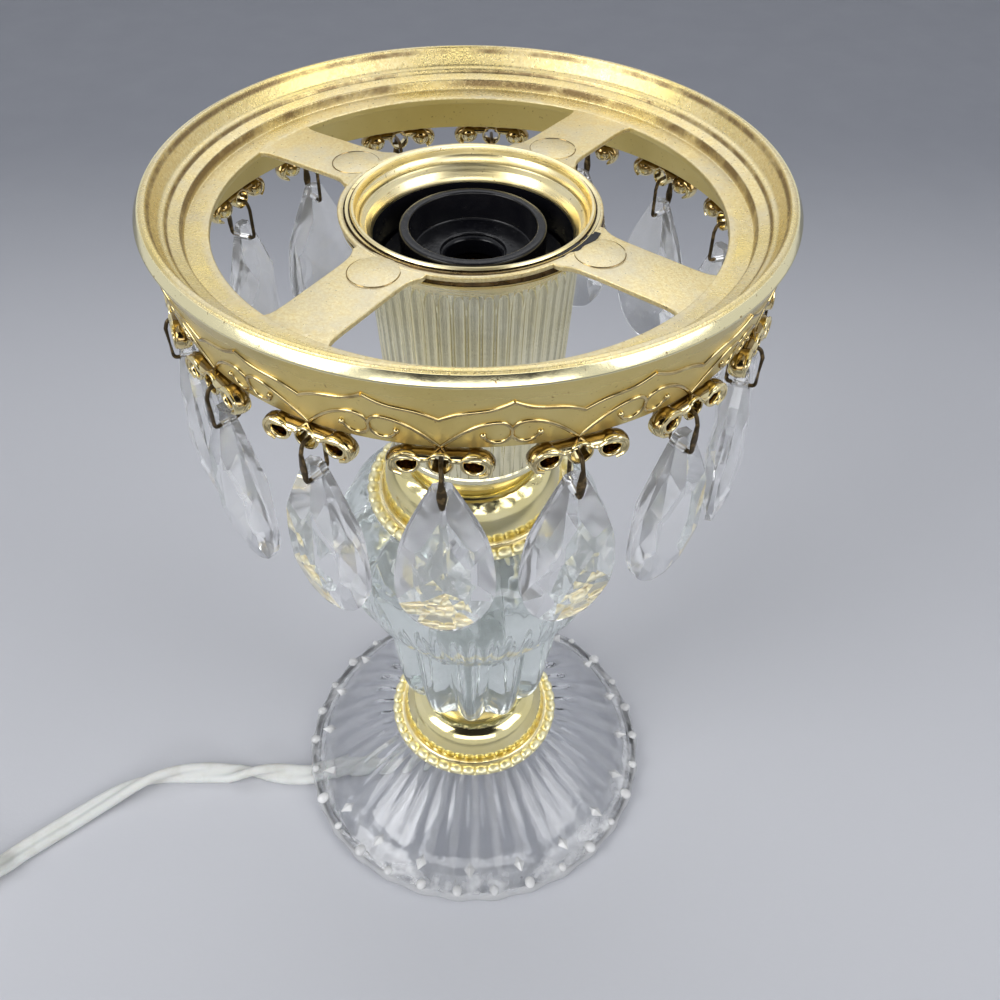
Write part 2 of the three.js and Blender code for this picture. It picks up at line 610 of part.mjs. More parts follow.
// Faceted pear drop, hanging from its hole, with its faceted faces towards +X and -X. Its corners lie at
// shares of its length down from the tip.
function crystalDrop() {
  const girdleShares = [0, 0.26, 0.52, 0.72, 0.88, 0.97];
  const faceShares = [0.16, 0.5, 0.78];
  const points = [];
  const corner = (depth, across, share) => {
    points.push(new THREE.Vector3(depth, across, DROP_TIP - share * DROP_LENGTH));
  };
  for (const face of [-1, 1]) {
    for (const side of [-1, 1]) {
      for (const share of girdleShares) corner(face * DROP_GIRDLE, side * dropHalfWidth(share), share);
      for (const share of faceShares) {
        const swelling = Math.min(1, share / DROP_FULL_SHARE);
        const depth = THREE.MathUtils.lerp(DROP_TIP_THICKNESS, DROP_THICKNESS, swelling) / 2;
        corner(face * depth, side * dropHalfWidth(share) * DROP_FACE_SHARE, share);
      }
    }
    corner(face * DROP_GIRDLE, 0, 1);
    corner(face * (DROP_TIP_THICKNESS / 2 - 0.5), 0, 0);
    corner(face * (DROP_THICKNESS / 2 - 0.6), 0, 0.9);
  }
  const hole = new THREE.CylinderGeometry(DROP_HOLE, DROP_HOLE, 2 * DROP_THICKNESS, 6).rotateZ(Math.PI / 2);
  return cut(new ConvexGeometry(points), hole);
}

// Wire clip: a bar for the loop, with two legs whose ends turn in to the drop's hole from both faces.
function wireClip() {
  const corners = [
    [CLIP_PIN_GAP, -CLIP_LENGTH],
    [CLIP_HALF_WIDTH, -CLIP_LENGTH],
    [CLIP_HALF_WIDTH, 0],
    [-CLIP_HALF_WIDTH, 0],
    [-CLIP_HALF_WIDTH, -CLIP_LENGTH],
    [-CLIP_PIN_GAP, -CLIP_LENGTH],
  ];
  return bentBar(
    corners.map(([x, z]) => new THREE.Vector2(x, z)),
    roundSection(WIRE_RADIUS, WIRE_SIDES),
  );
}

// Sixteen drops on their clips, each hanging from the bar that lies in the middle loop of its group.
function hangDrops() {
  const drop = crystalDrop();
  const clip = wireClip();
  for (let index = 0; index < MOTIFS; index++) {
    const angle = degrees(MOTIF_ANGLE) + (index / MOTIFS) * TURN;
    const turnedBy = degrees(DROP_TURN) * Math.sin(DROP_TURN_START + (3 * index * TURN) / 8);
    const pendant = new THREE.Group();
    const [x, y] = [LOOP_PLACE_RADIUS * Math.cos(angle), LOOP_PLACE_RADIUS * Math.sin(angle)];
    pendant.position.set(x, y, CLIP_BAR_HEIGHT);
    pendant.rotation.z = angle + turnedBy;
    const number = String(index + 1).padStart(2, "0");
    place(`clip_${number}`, clip, MATERIALS.wire, pendant);
    place(`crystal_${number}`, drop, MATERIALS.clearGlass, pendant).position.z = -CLIP_LENGTH;
    parts.add(pendant);
  }
}

// Black socket: a collar round the mouth, a flange that centres it in the cup, and a barrel for its shell.
function socketBody() {
  const collarInner = SOCKET_COLLAR_RADIUS - SOCKET_COLLAR_WALL;
  const flangeTop = SOCKET_LEDGE - SOCKET_FLANGE_THICKNESS;
  const flangeBottom = flangeTop - SOCKET_FLANGE_THICKNESS;
  const flangeRadius = cupInside(flangeBottom - CUP_BOTTOM) - SEAT;
  const cavity = SHELL_RADIUS + SEAT;
  const outline = [
    [CONTACT_BORE, SOCKET_BOTTOM],
    [SOCKET_BARREL_RADIUS, SOCKET_BOTTOM],
    [SOCKET_BARREL_RADIUS, flangeBottom],
    [flangeRadius, flangeBottom],
    [flangeRadius, flangeTop],
    [SOCKET_COLLAR_RADIUS, flangeTop],
    [SOCKET_COLLAR_RADIUS, SOCKET_TOP],
    [collarInner, SOCKET_TOP],
    [collarInner, SOCKET_LEDGE],
    [SOCKET_MOUTH_RADIUS, SOCKET_LEDGE],
    [SOCKET_THROAT_RADIUS, SOCKET_LEDGE - SOCKET_THROAT_DEPTH / 2],
    [SOCKET_THROAT_RADIUS, SHELL_TOP + SEAT],
    [cavity, SHELL_TOP + SEAT],
    [cavity, SHELL_BOTTOM - SEAT],
    [CONTACT_BORE, SHELL_BOTTOM - SEAT],
  ];
  return turned(outline, SOCKET_SIDES);
}

// Brass screw shell, with rolled threads on its inner wall.
function screwShell() {
  const threads = [];
  const pitch = (SHELL_LENGTH - 2 * SHELL_SHEET) / SHELL_THREADS;
  for (let thread = 0; thread < SHELL_THREADS; thread++) {
    const crest = SHELL_TOP - SHELL_SHEET - thread * pitch;
    threads.push([SOCKET_THROAT_RADIUS, crest]);
    threads.push([SOCKET_THROAT_RADIUS + SHELL_THREAD_DEPTH, crest - pitch / 2]);
  }
  return turned(
    [
      [SHELL_RADIUS - SHELL_LIP, SHELL_BOTTOM],
      [SHELL_RADIUS, SHELL_BOTTOM],
      [SHELL_RADIUS, SHELL_TOP],
      [SOCKET_THROAT_RADIUS, SHELL_TOP],
      ...threads,
      [SOCKET_THROAT_RADIUS, SHELL_BOTTOM + SHELL_SHEET],
      [SHELL_RADIUS - SHELL_LIP, SHELL_BOTTOM + SHELL_SHEET],
    ],
    SHELL_SIDES,
  );
}

// Centre contact: a rivet through the socket's back, whose domed head stands in the foot of the shell.
function centreContact() {
  const head = SHELL_BOTTOM + CONTACT_HEAD;
  return turned(
    [
      [0, SOCKET_BOTTOM],
      [CONTACT_RADIUS, SOCKET_BOTTOM],
      [CONTACT_RADIUS, head - 1],
      [CONTACT_RADIUS - 1.2, head],
      [0, head],
    ],
    12,
  );
}

// Bracket: a threaded collar on the tube whose top plate carries the socket.
function socketBracket() {
  const bottom = BRACKET_BOTTOM;
  const plateTop = bottom + BRACKET_HEIGHT;
  const plateRadius = SOCKET_BARREL_RADIUS - SEAT;
  return turned(
    [
      [TUBE_HOLE, bottom],
      [BRACKET_RADIUS, bottom],
      [BRACKET_RADIUS, plateTop - BRACKET_PLATE],
      [plateRadius, plateTop - BRACKET_PLATE],
      [plateRadius, plateTop],
      [TUBE_BORE + FIT, plateTop],
      [TUBE_BORE + FIT, TUBE_TOP + SEAT],
      [TUBE_HOLE, TUBE_TOP + SEAT],
    ],
    TUBE_SIDES,
  );
}

// A plain ring between two radii and two heights.
function plainRing(inner, outer, bottom, top, sides) {
  return turned(
    [
      [inner, bottom],
      [outer, bottom],
      [outer, top],
      [inner, top],
    ],
    sides,
  );
}

// Bushing over the tube's lower end, which keeps the cord off the cut edge.
function tubeBushing() {
  const lip = TUBE_BOTTOM - SEAT;
  return turned(
    [
      [TUBE_BORE, lip - BUSHING_LIP],
      [TUBE_HOLE + BUSHING_WALL, lip - BUSHING_LIP],
      [TUBE_HOLE + BUSHING_WALL, TUBE_BOTTOM + BUSHING_DEPTH],
      [TUBE_HOLE, TUBE_BOTTOM + BUSHING_DEPTH],
      [TUBE_HOLE, lip],
      [TUBE_BORE, lip],
    ],
    TUBE_SIDES,
  );
}

// Six-sided nut on the tube, standing on the given height.
function hexNut(bottom) {
  const cornerRadius = NUT_ACROSS_FLATS / Math.sqrt(3);
  const nut = new THREE.CylinderGeometry(cornerRadius, cornerRadius, NUT_HEIGHT, 6);
  const hole = new THREE.CylinderGeometry(TUBE_HOLE, TUBE_HOLE, 2 * NUT_HEIGHT, TUBE_SIDES);
  return cut(nut, hole)
    .rotateX(Math.PI / 2)
    .translate(0, 0, bottom + NUT_HEIGHT / 2);
}

// Section of the flat cord: [offset across its thickness, offset across its width].
function cordSection() {
  const half = CORD_THICKNESS / 2;
  const flat = CORD_WIDTH / 2 - half;
  const round = half * Math.tan(Math.PI / 8);
  return [
    [half, -flat - round],
    [half, flat + round],
    [round, CORD_WIDTH / 2],
    [-round, CORD_WIDTH / 2],
    [-half, flat + round],
    [-half, -flat - round],
    [-round, -CORD_WIDTH / 2],
    [round, -CORD_WIDTH / 2],
  ];
}

// A stretch of the flat cord that lies on its wide side along a path.
function cordAlong(points) {
  const path = new THREE.CatmullRomCurve3(points, false, "centripetal");
  const steps = Math.max(Math.round(path.getLength() / (CORD_STEP * CORD_WIDTH)), CORD_LEAST_STEPS);
  const section = new THREE.Shape(cordSection().map(([x, y]) => new THREE.Vector2(x, y)));
  return new THREE.ExtrudeGeometry(section, { steps, extrudePath: path, bevelEnabled: false });
}

// The cord inside the lamp, from the socket down the tube and out under the foot to the first free point.
function innerLead() {
  const reach = Math.hypot(CORD_POINTS[0][0], CORD_POINTS[0][1]) - SEAT;
  const points = [new THREE.Vector2(0, SOCKET_BOTTOM - SEAT)];
  for (let step = 0; step <= 4; step++) {
    const angle = (step / 4) * (Math.PI / 2);
    const across = LEAD_BEND_RADIUS * (1 - Math.cos(angle));
    points.push(new THREE.Vector2(across, CORD_HEIGHT + LEAD_BEND_RADIUS * (1 - Math.sin(angle))));
  }
  points.push(new THREE.Vector2(reach, CORD_HEIGHT));
  return bentBar(points, cordSection()).rotateZ(degrees(NOTCH_ANGLE));
}

// Points along the coil: in on the lower layer, up where the spiral turns back, and out on the upper layer.
function coilPath(start, startHeading) {
  const entry = startHeading + Math.PI / 2;
  const partTurn = (((entry - degrees(COIL_EXIT_ANGLE)) % TURN) + TURN) % TURN;
  const turns = COIL_TURNS + partTurn / TURN;
  const outerRadius = COIL_INNER_RADIUS + (COIL_PITCH * turns) / 2;
  const height = CORD_WIDTH / 2 + CORD_LIFT;
  const forward = new THREE.Vector3(Math.cos(startHeading), Math.sin(startHeading), 0);
  const first = start.clone().setZ(height);
  const centre = first
    .clone()
    .addScaledVector(forward, CORD_WIDTH)
    .add(new THREE.Vector3(-Math.cos(entry), -Math.sin(entry), 0).multiplyScalar(outerRadius));
  const points = [first];
  const steps = Math.round(turns * COIL_STEPS);
  for (let step = 0; step <= steps; step++) {
    const done = (step / steps) * turns;
    const pastTurnBack = done - turns / 2;
    const radius = COIL_INNER_RADIUS + COIL_PITCH * Math.abs(pastTurnBack);
    const climb = THREE.MathUtils.smoothstep(pastTurnBack, -0.25, 0.25) * COIL_PITCH;
    const angle = entry - done * TURN;
    points.push(
      new THREE.Vector3(
        centre.x + radius * Math.cos(angle),
        centre.y + radius * Math.sin(angle),
        height + climb,
      ),
    );
  }
  const exit = degrees(COIL_EXIT_ANGLE) - Math.PI / 2;
  const outward = new THREE.Vector3(Math.cos(exit), Math.sin(exit), 0);
  points.push(points.at(-1).clone().addScaledVector(outward, CORD_WIDTH));
  return points;
}

// The least gap between turns of the coil, measured on its points.
function leastGap(points) {
  const apart = COIL_STEPS / 2;
  let least = Infinity;
  for (let i = 0; i < points.length; i++) {
    for (let j = i + apart; j < points.length; j++) {
      least = Math.min(least, points[i].distanceTo(points[j]));
    }
  }
  return least - CORD_WIDTH;
}

// One unbroken round tube wound along the coil's points.
function coilTube(points) {
  const rings = points.map((point, i) => {
    const before = points[Math.max(i - 1, 0)];
    const after = points[Math.min(i + 1, points.length - 1)];
    const along = after.clone().sub(before).normalize();
    const side = new THREE.Vector3(along.y, -along.x, 0).normalize();
    const up = side.clone().cross(along);
    return roundSection(CORD_WIDTH / 2, COIL_SIDES).map(([x, y]) =>
      point.clone().addScaledVector(side, -x).addScaledVector(up, y),
    );
  });
  return skinned(rings);
}

// A chamfered block that lies along +X, from one side of its outline as [distance, half width].
function chamferedBlock(halfOutline, height) {
  const inset = halfOutline.map(([x, y], i) => {
    const end = i === 0 ? EDGE : i === halfOutline.length - 1 ? -EDGE : 0;
    return [x + end, y - EDGE];
  });
  const oneSide = inset.map(([x, y]) => new THREE.Vector2(x, -y));
  const otherSide = inset.reverse().map(([x, y]) => new THREE.Vector2(x, y));
  return new THREE.ExtrudeGeometry(new THREE.Shape([...oneSide, ...otherSide]), {
    depth: height - 2 * EDGE,
    bevelThickness: EDGE,
    bevelSize: EDGE,
    bevelSegments: 1,
  }).translate(0, 0, EDGE);
}

// In-line switch: two half shells with a thumb wheel on an axle between them.
function inlineSwitch(group) {
  const middle = SWITCH_HEIGHT / 2;
  const wide = SWITCH_WIDTH / 2;
  const body = chamferedBlock(
    [
      [0, SWITCH_NECK / 2],
      [SWITCH_LENGTH * 0.3, wide],
      [SWITCH_LENGTH * 0.7, wide],
      [SWITCH_LENGTH, SWITCH_NECK / 2],
    ],
    SWITCH_HEIGHT,
  );
  const centre = [SWITCH_LENGTH / 2, wide + WHEEL_REACH - WHEEL_RADIUS];
  const disc = (radius, bottom, top, sides) =>
    new THREE.CylinderGeometry(radius, radius, top - bottom, sides)
      .rotateX(Math.PI / 2)
      .translate(centre[0], centre[1], (bottom + top) / 2);
  const wheelBottom = middle - WHEEL_WIDTH / 2;
  const wheelTop = middle + WHEEL_WIDTH / 2;
  const room = disc(WHEEL_RADIUS + FIT, wheelBottom - SEAT, wheelTop + SEAT, 24);
  const slab = (bottom, top) => {
    const block = new THREE.BoxGeometry(2 * SWITCH_LENGTH, 2 * SWITCH_WIDTH, top - bottom);
    return block.translate(centre[0], 0, (bottom + top) / 2);
  };
  const base = cut(body, room, slab(middle, 2 * SWITCH_HEIGHT));
  const cover = cut(body, room, slab(-SWITCH_HEIGHT, middle + SEAT));
  const axle = disc(AXLE_RADIUS, SWITCH_WALL, wheelTop, 12);
  const wheel = disc(WHEEL_RADIUS, wheelBottom, wheelTop, 24);
  const axleHole = disc(AXLE_RADIUS + FIT, 0, SWITCH_HEIGHT, 12);
  place("switch_base", joined([base, axle]), MATERIALS.whitePlastic, group);
  place("switch_cover", cover, MATERIALS.whitePlastic, group);
  place("switch_wheel", cut(wheel, axleHole), MATERIALS.whitePlastic, group);
}

// Two-blade plug lying on its wide side, with a neck for the cord.
function plug(group) {
  const body = chamferedBlock(
    [
      [0, PLUG_NECK / 2],
      [PLUG_LENGTH * 0.35, PLUG_NECK / 2 + EDGE],
      [PLUG_LENGTH * 0.6, PLUG_WIDTH / 2],
      [PLUG_LENGTH, PLUG_WIDTH / 2],
    ],
    PLUG_HEIGHT,
  );
  place("plug_body", body, MATERIALS.vinyl, group);
  for (const [name, side] of [["plug_blade_a", 1], ["plug_blade_b", -1]]) {
    const blade = new THREE.BoxGeometry(BLADE_LENGTH, BLADE_THICKNESS, BLADE_WIDTH);
    place(name, blade, MATERIALS.brass, group).position.set(
      PLUG_LENGTH + SEAT + BLADE_LENGTH / 2,
      (side * BLADE_SPACING) / 2,
      PLUG_HEIGHT / 2,
    );
  }
}

// A group that lies at a point of the table and looks along a heading.
function lying(point, heading) {
  const group = new THREE.Group();
  group.position.set(point.x, point.y, 0);
  group.rotation.z = heading;
  parts.add(group);
  return group;
}

// The free cord from under the foot through the switch and the coil to the plug.
function layCord() {
  const free = CORD_POINTS.map(([x, y, z]) => new THREE.Vector3(x, y, z));
  const forward = new THREE.Vector3(Math.cos(CORD_HEADING), Math.sin(CORD_HEADING), 0);
  const ahead = (point, distance, height) => point.clone().addScaledVector(forward, distance).setZ(height);
  free.push(ahead(free.at(-1), CORD_STRAIGHT, SWITCH_HEIGHT / 2));
  place("cord_to_switch", cordAlong(free), MATERIALS.vinyl);
  const switchStart = ahead(free.at(-1), SEAT, 0);
  inlineSwitch(lying(switchStart, CORD_HEADING));

  const afterStart = ahead(switchStart, SWITCH_LENGTH + SEAT, SWITCH_HEIGHT / 2);
  const afterEnd = ahead(afterStart, AFTER_SWITCH, CORD_WIDTH / 2);
  const levelOut = ahead(afterStart, CORD_STRAIGHT, afterStart.z);
  const levelIn = ahead(afterEnd, -CORD_STRAIGHT, afterEnd.z);
  place("cord_after_switch", cordAlong([afterStart, levelOut, levelIn, afterEnd]), MATERIALS.vinyl);

  const coil = coilPath(ahead(afterEnd, SEAT, 0), CORD_HEADING);
  console.log(`coil: least gap to itself ${leastGap(coil).toFixed(2)} mm`);
  place("cord_coil", coilTube(coil), MATERIALS.vinyl);

  const exitHeading = degrees(COIL_EXIT_ANGLE) - Math.PI / 2;
  const tailStart = coil.at(-1).clone();
  tailStart.add(new THREE.Vector3(Math.cos(exitHeading), Math.sin(exitHeading), 0).multiplyScalar(SEAT));
  const tail = [];
  const bend = TAIL_LENGTH / TAIL_RADIUS;
  for (let step = 0; step <= 4; step++) {
    const share = step / 4;
    const heading = exitHeading - bend * share;
    tail.push(
      new THREE.Vector3(
        tailStart.x + TAIL_RADIUS * (Math.sin(exitHeading) - Math.sin(heading)),
        tailStart.y + TAIL_RADIUS * (Math.cos(heading) - Math.cos(exitHeading)),
        THREE.MathUtils.lerp(tailStart.z, PLUG_HEIGHT / 2, THREE.MathUtils.smoothstep(share, 0, 1)),
      ),
    );
  }
  place("cord_tail", cordAlong(tail), MATERIALS.vinyl);
  const plugHeading = exitHeading - bend;
  const plugForward = new THREE.Vector3(Math.cos(plugHeading), Math.sin(plugHeading), 0);
  plug(lying(tail.at(-1).clone().addScaledVector(plugForward, SEAT), plugHeading));
}

place("glass_base", glassFoot(), MATERIALS.clearGlass);
place("lower_cap", beadedCap(LOWER_CAP).translate(0, 0, LOWER_CAP_BOTTOM), MATERIALS.brass);
place("glass_column", glassColumn().translate(0, 0, COLUMN_BOTTOM), MATERIALS.greenGlass);
place("upper_cap", beadedCap(UPPER_CAP).translate(0, 0, UPPER_CAP_BOTTOM), MATERIALS.brass);
place("fluted_cup", flutedCup().translate(0, 0, CUP_BOTTOM), MATERIALS.platedCup);
place("shade_ring", shadeRing(), MATERIALS.platedRing);
hangDrops();

place("socket_body", socketBody(), MATERIALS.phenolic);
place("screw_shell", screwShell(), MATERIALS.brass);
place("center_contact", centreContact(), MATERIALS.brass);
place("socket_bracket", socketBracket(), MATERIALS.steel);
const pipe = plainRing(TUBE_BORE, TUBE_RADIUS, TUBE_BOTTOM, TUBE_TOP, TUBE_SIDES);
place("threaded_pipe", pipe, MATERIALS.steel);
place("cup_locknut", hexNut(LOCKNUT_BOTTOM), MATERIALS.steel);

const washerTop = FOOT_HEIGHT - FOOT_WALL - SEAT;
const washerBottom = washerTop - WASHER_THICKNESS;
const washer = plainRing(TUBE_HOLE, WASHER_RADIUS, washerBottom, washerTop, TUBE_SIDES);
place("bottom_washer", washer, MATERIALS.steel);
place("bottom_nut", hexNut(washerBottom - SEAT - NUT_HEIGHT), MATERIALS.steel);
place("pipe_bushing", tubeBushing(), MATERIALS.phenolic);
place("inner_lead", innerLead(), MATERIALS.vinyl);
layCord();

export default parts;
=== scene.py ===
# Boudoir table lamp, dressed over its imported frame. Shapes are written in millimetres in the lamp's own frame
# (+Z up, the lamp's axis on Z, the table at Z = 0) and are scaled to metres as each mesh is made.
import math

import bmesh
import bpy
import numpy as np
from mathutils import Matrix, Vector


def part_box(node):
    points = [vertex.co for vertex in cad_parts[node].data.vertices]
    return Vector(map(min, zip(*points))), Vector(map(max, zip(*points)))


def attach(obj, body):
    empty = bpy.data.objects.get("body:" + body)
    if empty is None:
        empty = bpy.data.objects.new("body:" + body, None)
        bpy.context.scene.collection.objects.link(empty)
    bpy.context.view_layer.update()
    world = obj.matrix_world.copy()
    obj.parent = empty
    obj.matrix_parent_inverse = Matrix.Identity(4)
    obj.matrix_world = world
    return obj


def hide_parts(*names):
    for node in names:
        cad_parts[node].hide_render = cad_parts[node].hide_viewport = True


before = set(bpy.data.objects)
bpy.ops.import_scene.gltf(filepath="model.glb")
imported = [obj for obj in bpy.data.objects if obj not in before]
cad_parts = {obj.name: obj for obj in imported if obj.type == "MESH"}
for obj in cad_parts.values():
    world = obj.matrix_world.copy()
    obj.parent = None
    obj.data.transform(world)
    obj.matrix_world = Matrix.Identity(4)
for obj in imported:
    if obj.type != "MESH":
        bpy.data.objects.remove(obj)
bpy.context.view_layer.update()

MM = 0.001
TURN = 2 * math.pi


def span(node):
    """The lowest and the highest point of a frame node."""
    return [corner[2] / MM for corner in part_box(node)]


# Heights taken from the frame
RING_TOP = span("shade_ring")[1]
CUP_BOTTOM, CUP_TOP = span("fluted_cup")
COLUMN_BOTTOM = span("glass_column")[0]
LOWER_CAP_BOTTOM = span("lower_cap")[0]
UPPER_CAP_BOTTOM = span("upper_cap")[0]
FOOT_TOP = span("glass_base")[1]
SOCKET_BOTTOM, SOCKET_TOP = span("socket_body")
SHELL_BOTTOM, SHELL_TOP = span("screw_shell")

# Camera
CAMERA_PLACE = (0.0, -206.2, 338.6)
CAMERA_YAW = 2.16  # degrees, to the right of +Y
CAMERA_PITCH = 45.18  # degrees, downwards
CAMERA_ROLL = 1.13
FOCAL_SHARE = 1.021  # focal length as a share of the picture's width

# Shade ring
LIP_RADIUS = 71.3
SKIRT_TOP_RADIUS = 70.2
SKIRT_TOP_DEPTH = 3.3
SKIRT_RADIUS = 66.5
SKIRT_DEPTH = 20.6
LEDGE_RADIUS = 57.0
LEDGE_DEPTH = 9.0
DARKENED_CORNERS = (68.05, 65.3, 62.5)  # radii of the corners between the lip and the ledge, which are darkened in thin patchy lines
MOTIFS = 16
MOTIF_ANGLE = -95.1
SPOKES = 4
SPOKE_ANGLE = -126.4
SPOKE_WIDTH = 15.0
SPOKE_THICKNESS = 1.4
SPOKE_SINK = 0.1  # from the hub's top down to the spokes' top
MARK_PLACE_RADIUS = 33.4
MARK_RADIUS = 5.45
MARK_SHADOW_DEPTH = 0.187  # from the hub's top down to the painted shadow rings round the marks
LOOP_PLACE_RADIUS = 66.6
LOOP_DEPTH = 23.2
LOOP_FRONT = 1.9  # from the middle of a loop out to its front
LOOP_SPACING = 6.3
HUB_HOLE = 27.9
HUB_RADIUS = 29.5
HUB_TOP = 224.1
HUB_BOTTOM = 222.7
CRACK_START, CRACK_END = -50.0, -24.0  # where the crack in the hub meets its inner and outer edge

# Clips and drops
CLIP_BAR_HEIGHT = 205.85  # the height that each drop swings about
CLIP_LENGTH = 7.9
CLIP_RISE = 2.3  # how far the wire's bend stands above the pivot
CLIP_HALF_WIDTH = 3.2
WIRE_RADIUS = 0.45
DROP_TURN = 7.0  # degrees, how far a drop may hang turned on its wire
DROP_LENGTH = 44.3
DROP_HALF_WIDTH = 10.7
DROP_HALF_DEPTH = 4.6
DROP_TIP = 3.7

# Socket, cup, column and foot
SOCKET_SHIFT = 0.5  # the socket and the cup sit a little off the ring's axis
SHELL_TURNS = 6
FLUTES = 48
FLUTE_DEPTH = 0.75
LOBES = 12
LOBE_ANGLE = math.radians(-93)
PETAL_TOP = 42.0  # where the petals' edges end, above the column's bottom, with their middles an arch higher
PETAL_ARCH = 3.6
PETAL_DEPTH = 4.4
BULB_RIBS = 48
FOOT_FLUTES = 30
FOOT_RIBS = 40
FOOT_STARS = 20
KNOB_PLACE = (58.9, 0, 5.2)
STAR_PLACE = (53.3, 0, 9.2)

# Cord: the same route as the frame's, as [x, y, height], with how far the flat cord is twisted there in degrees
CORD_WIDTH = 7.35
CORD_CORE = 1.75  # radius of one of its two cores
CORD_POINTS = [
    [-49.5, -10.6, 1.9], [-60.1, -12.8, 1.9], [-72.7, -12.8, 1.9], [-89.5, -11.8, 1.9],
    [-105.9, -12.6, 1.9], [-117.9, -14.9, 1.9], [-128.9, -20.2, 1.9], [-142.5, -30.3, 1.9],
    [-155.4, -40.4, 1.9], [-161.3, -45.7, 2.1], [-167.0, -49.9, 3.8], [-173.0, -53.2, 5.9],
]
CORD_TWISTS = [0, 0, 60, 180, 245, 300, 345, 360, 360, 360, 360, 360]
CORD_HEADING = math.atan2(-3.0, -6.2)
CORD_STRAIGHT = 5.0
SEAT = 0.3
AFTER_SWITCH = 16.0
SWITCH_LENGTH = 46.0
SWITCH_WIDTH = 22.0
SWITCH_NECK = 12.0
SWITCH_HEIGHT = 13.0
SWITCH_SPLIT = 0.1  # half the gap between the switch's shells
LIFT = 0.2  # from the table up to the switch and the plug
WHEEL_RADIUS = 9.0
WHEEL_BORE = 1.95
WHEEL_WIDTH = 4.4
WHEEL_REACH = 2.5
WHEEL_TEETH = 36
COIL_PITCH = 7.8
COIL_INNER_RADIUS = 28.0
COIL_TURNS = 6
COIL_EXIT_ANGLE = math.pi
COIL_EXIT_HEADING = COIL_EXIT_ANGLE - math.pi / 2
COIL_STEPS = 24
COIL_TWIST = 300.0  # degrees of twist for each turn of the coil
TAIL_LENGTH = 42.0
TAIL_RADIUS = 120.0
PLUG_LENGTH = 28.0
PLUG_WIDTH = 22.0
PLUG_HEIGHT = 13.0
PLUG_NECK = 9.0
BLADE_LENGTH = 16.0
BLADE_WIDTH = 6.3
BLADE_THICKNESS = 1.5
BLADE_SPACING = 12.7
LEAD_BEND_RADIUS = 10.2
NOTCH_ANGLE = math.radians(-167.9)


# Camera, placed before anything is made


def linked(name, data):
    """A new object in the scene."""
    thing = bpy.data.objects.new(name, data)
    bpy.context.scene.collection.objects.link(thing)
    return thing


def add_camera():
    yaw, pitch, roll = (math.radians(a) for a in (CAMERA_YAW, CAMERA_PITCH, CAMERA_ROLL))
    forward = Vector((math.sin(yaw) * math.cos(pitch), math.cos(yaw) * math.cos(pitch), -math.sin(pitch)))
    level = Vector((math.cos(yaw), -math.sin(yaw), 0))
    upright = level.cross(forward)
    right = math.cos(roll) * level + math.sin(roll) * upright
    up = math.cos(roll) * upright - math.sin(roll) * level
    data = bpy.data.cameras.new("camera")
    data.sensor_width = 36
    data.lens = data.sensor_width * FOCAL_SHARE
    data.clip_start, data.clip_end = 0.01, 20
    camera = linked("camera", data)
    turn = Matrix((right, up, -forward)).transposed().to_4x4()
    camera.matrix_world = Matrix.Translation(Vector(CAMERA_PLACE) * MM) @ turn
    bpy.context.scene.camera = camera


# Materials


class Tree:
    """The node tree of a material or a world, with one call for each kind of node."""

    def __init__(self, name, world=False):
        self.material = (bpy.data.worlds if world else bpy.data.materials).new(name)
        self.material.use_nodes = True
        self.nodes = self.material.node_tree.nodes
        self.shader = self.nodes["Background" if world else "Principled BSDF"]
        self.place = self.add("ShaderNodeTexCoord").outputs["Generated" if world else "Object"]

    def add(self, kind, inputs=None, **settings):
        node = self.nodes.new(kind)
        for name, value in settings.items():
            setattr(node, name, value)
        for name, value in (inputs or {}).items():
            self.join(value, node.inputs[name])
        return node

    def join(self, value, socket):
        if isinstance(value, bpy.types.NodeSocket):
            self.material.node_tree.links.new(value, socket)
        elif isinstance(value, tuple) and len(value) == 3 and socket.type == "RGBA":
            socket.default_value = (*value, 1)
        else:
            socket.default_value = value

    def set(self, **inputs):
        for name, value in inputs.items():
            self.join(value, self.shader.inputs[name.replace("_", " ")])
        return self.material

    def noise(self, scale, detail=3.0, roughness=0.55, place=None):
        inputs = {"Vector": place or self.place, "Scale": scale, "Detail": detail, "Roughness": roughness}
        return self.add("ShaderNodeTexNoise", inputs).outputs["Fac"]

    def ramp(self, value, start, end, low=0.0, high=1.0):
        inputs = {"Value": value, "From Min": start, "From Max": end, "To Min": low, "To Max": high}
        return self.add("ShaderNodeMapRange", inputs).outputs["Result"]

    def patches(self, scale, detail, start, end, low=0.0, high=1.0, roughness=0.55, place=None):
        """A noise, with the part of its range from start to end stretched to low and high."""
        return self.ramp(self.noise(scale, detail, roughness, place), start, end, low, high)

    def math(self, operation, first, second=0):
        return self.add("ShaderNodeMath", {0: first, 1: second}, operation=operation).outputs[0]

    def times(self, first, second):
        return self.math("MULTIPLY", first, second)

    def vector(self, operation, *inputs):
        return self.add("ShaderNodeVectorMath", dict(enumerate(inputs)), operation=operation).outputs

    def mix(self, share, first, second):
        node = self.add("ShaderNodeMix", data_type="RGBA")
        for name, value in (("Factor", share), ("A", first), ("B", second)):
            self.join(value, node.inputs[name])
        return node.outputs["Result"]

    def bump(self, height, distance):
        inputs = {"Height": height, "Distance": distance * MM, "Strength": 1.0}
        return self.add("ShaderNodeBump", inputs).outputs["Normal"]

    def parts(self):
        return self.add("ShaderNodeSeparateXYZ", {"Vector": self.place}).outputs

    def upward(self):
        normal = self.add("ShaderNodeNewGeometry").outputs["Normal"]
        return self.add("ShaderNodeSeparateXYZ", {"Vector": normal}).outputs["Z"]

    def rays(self):
        """1 for the camera's own rays, and 1 for those that metal and glass send on."""
        path = self.add("ShaderNodeLightPath").outputs
        return path["Is Camera Ray"], self.math("MAXIMUM", path["Is Glossy Ray"], path["Is Transmission Ray"])


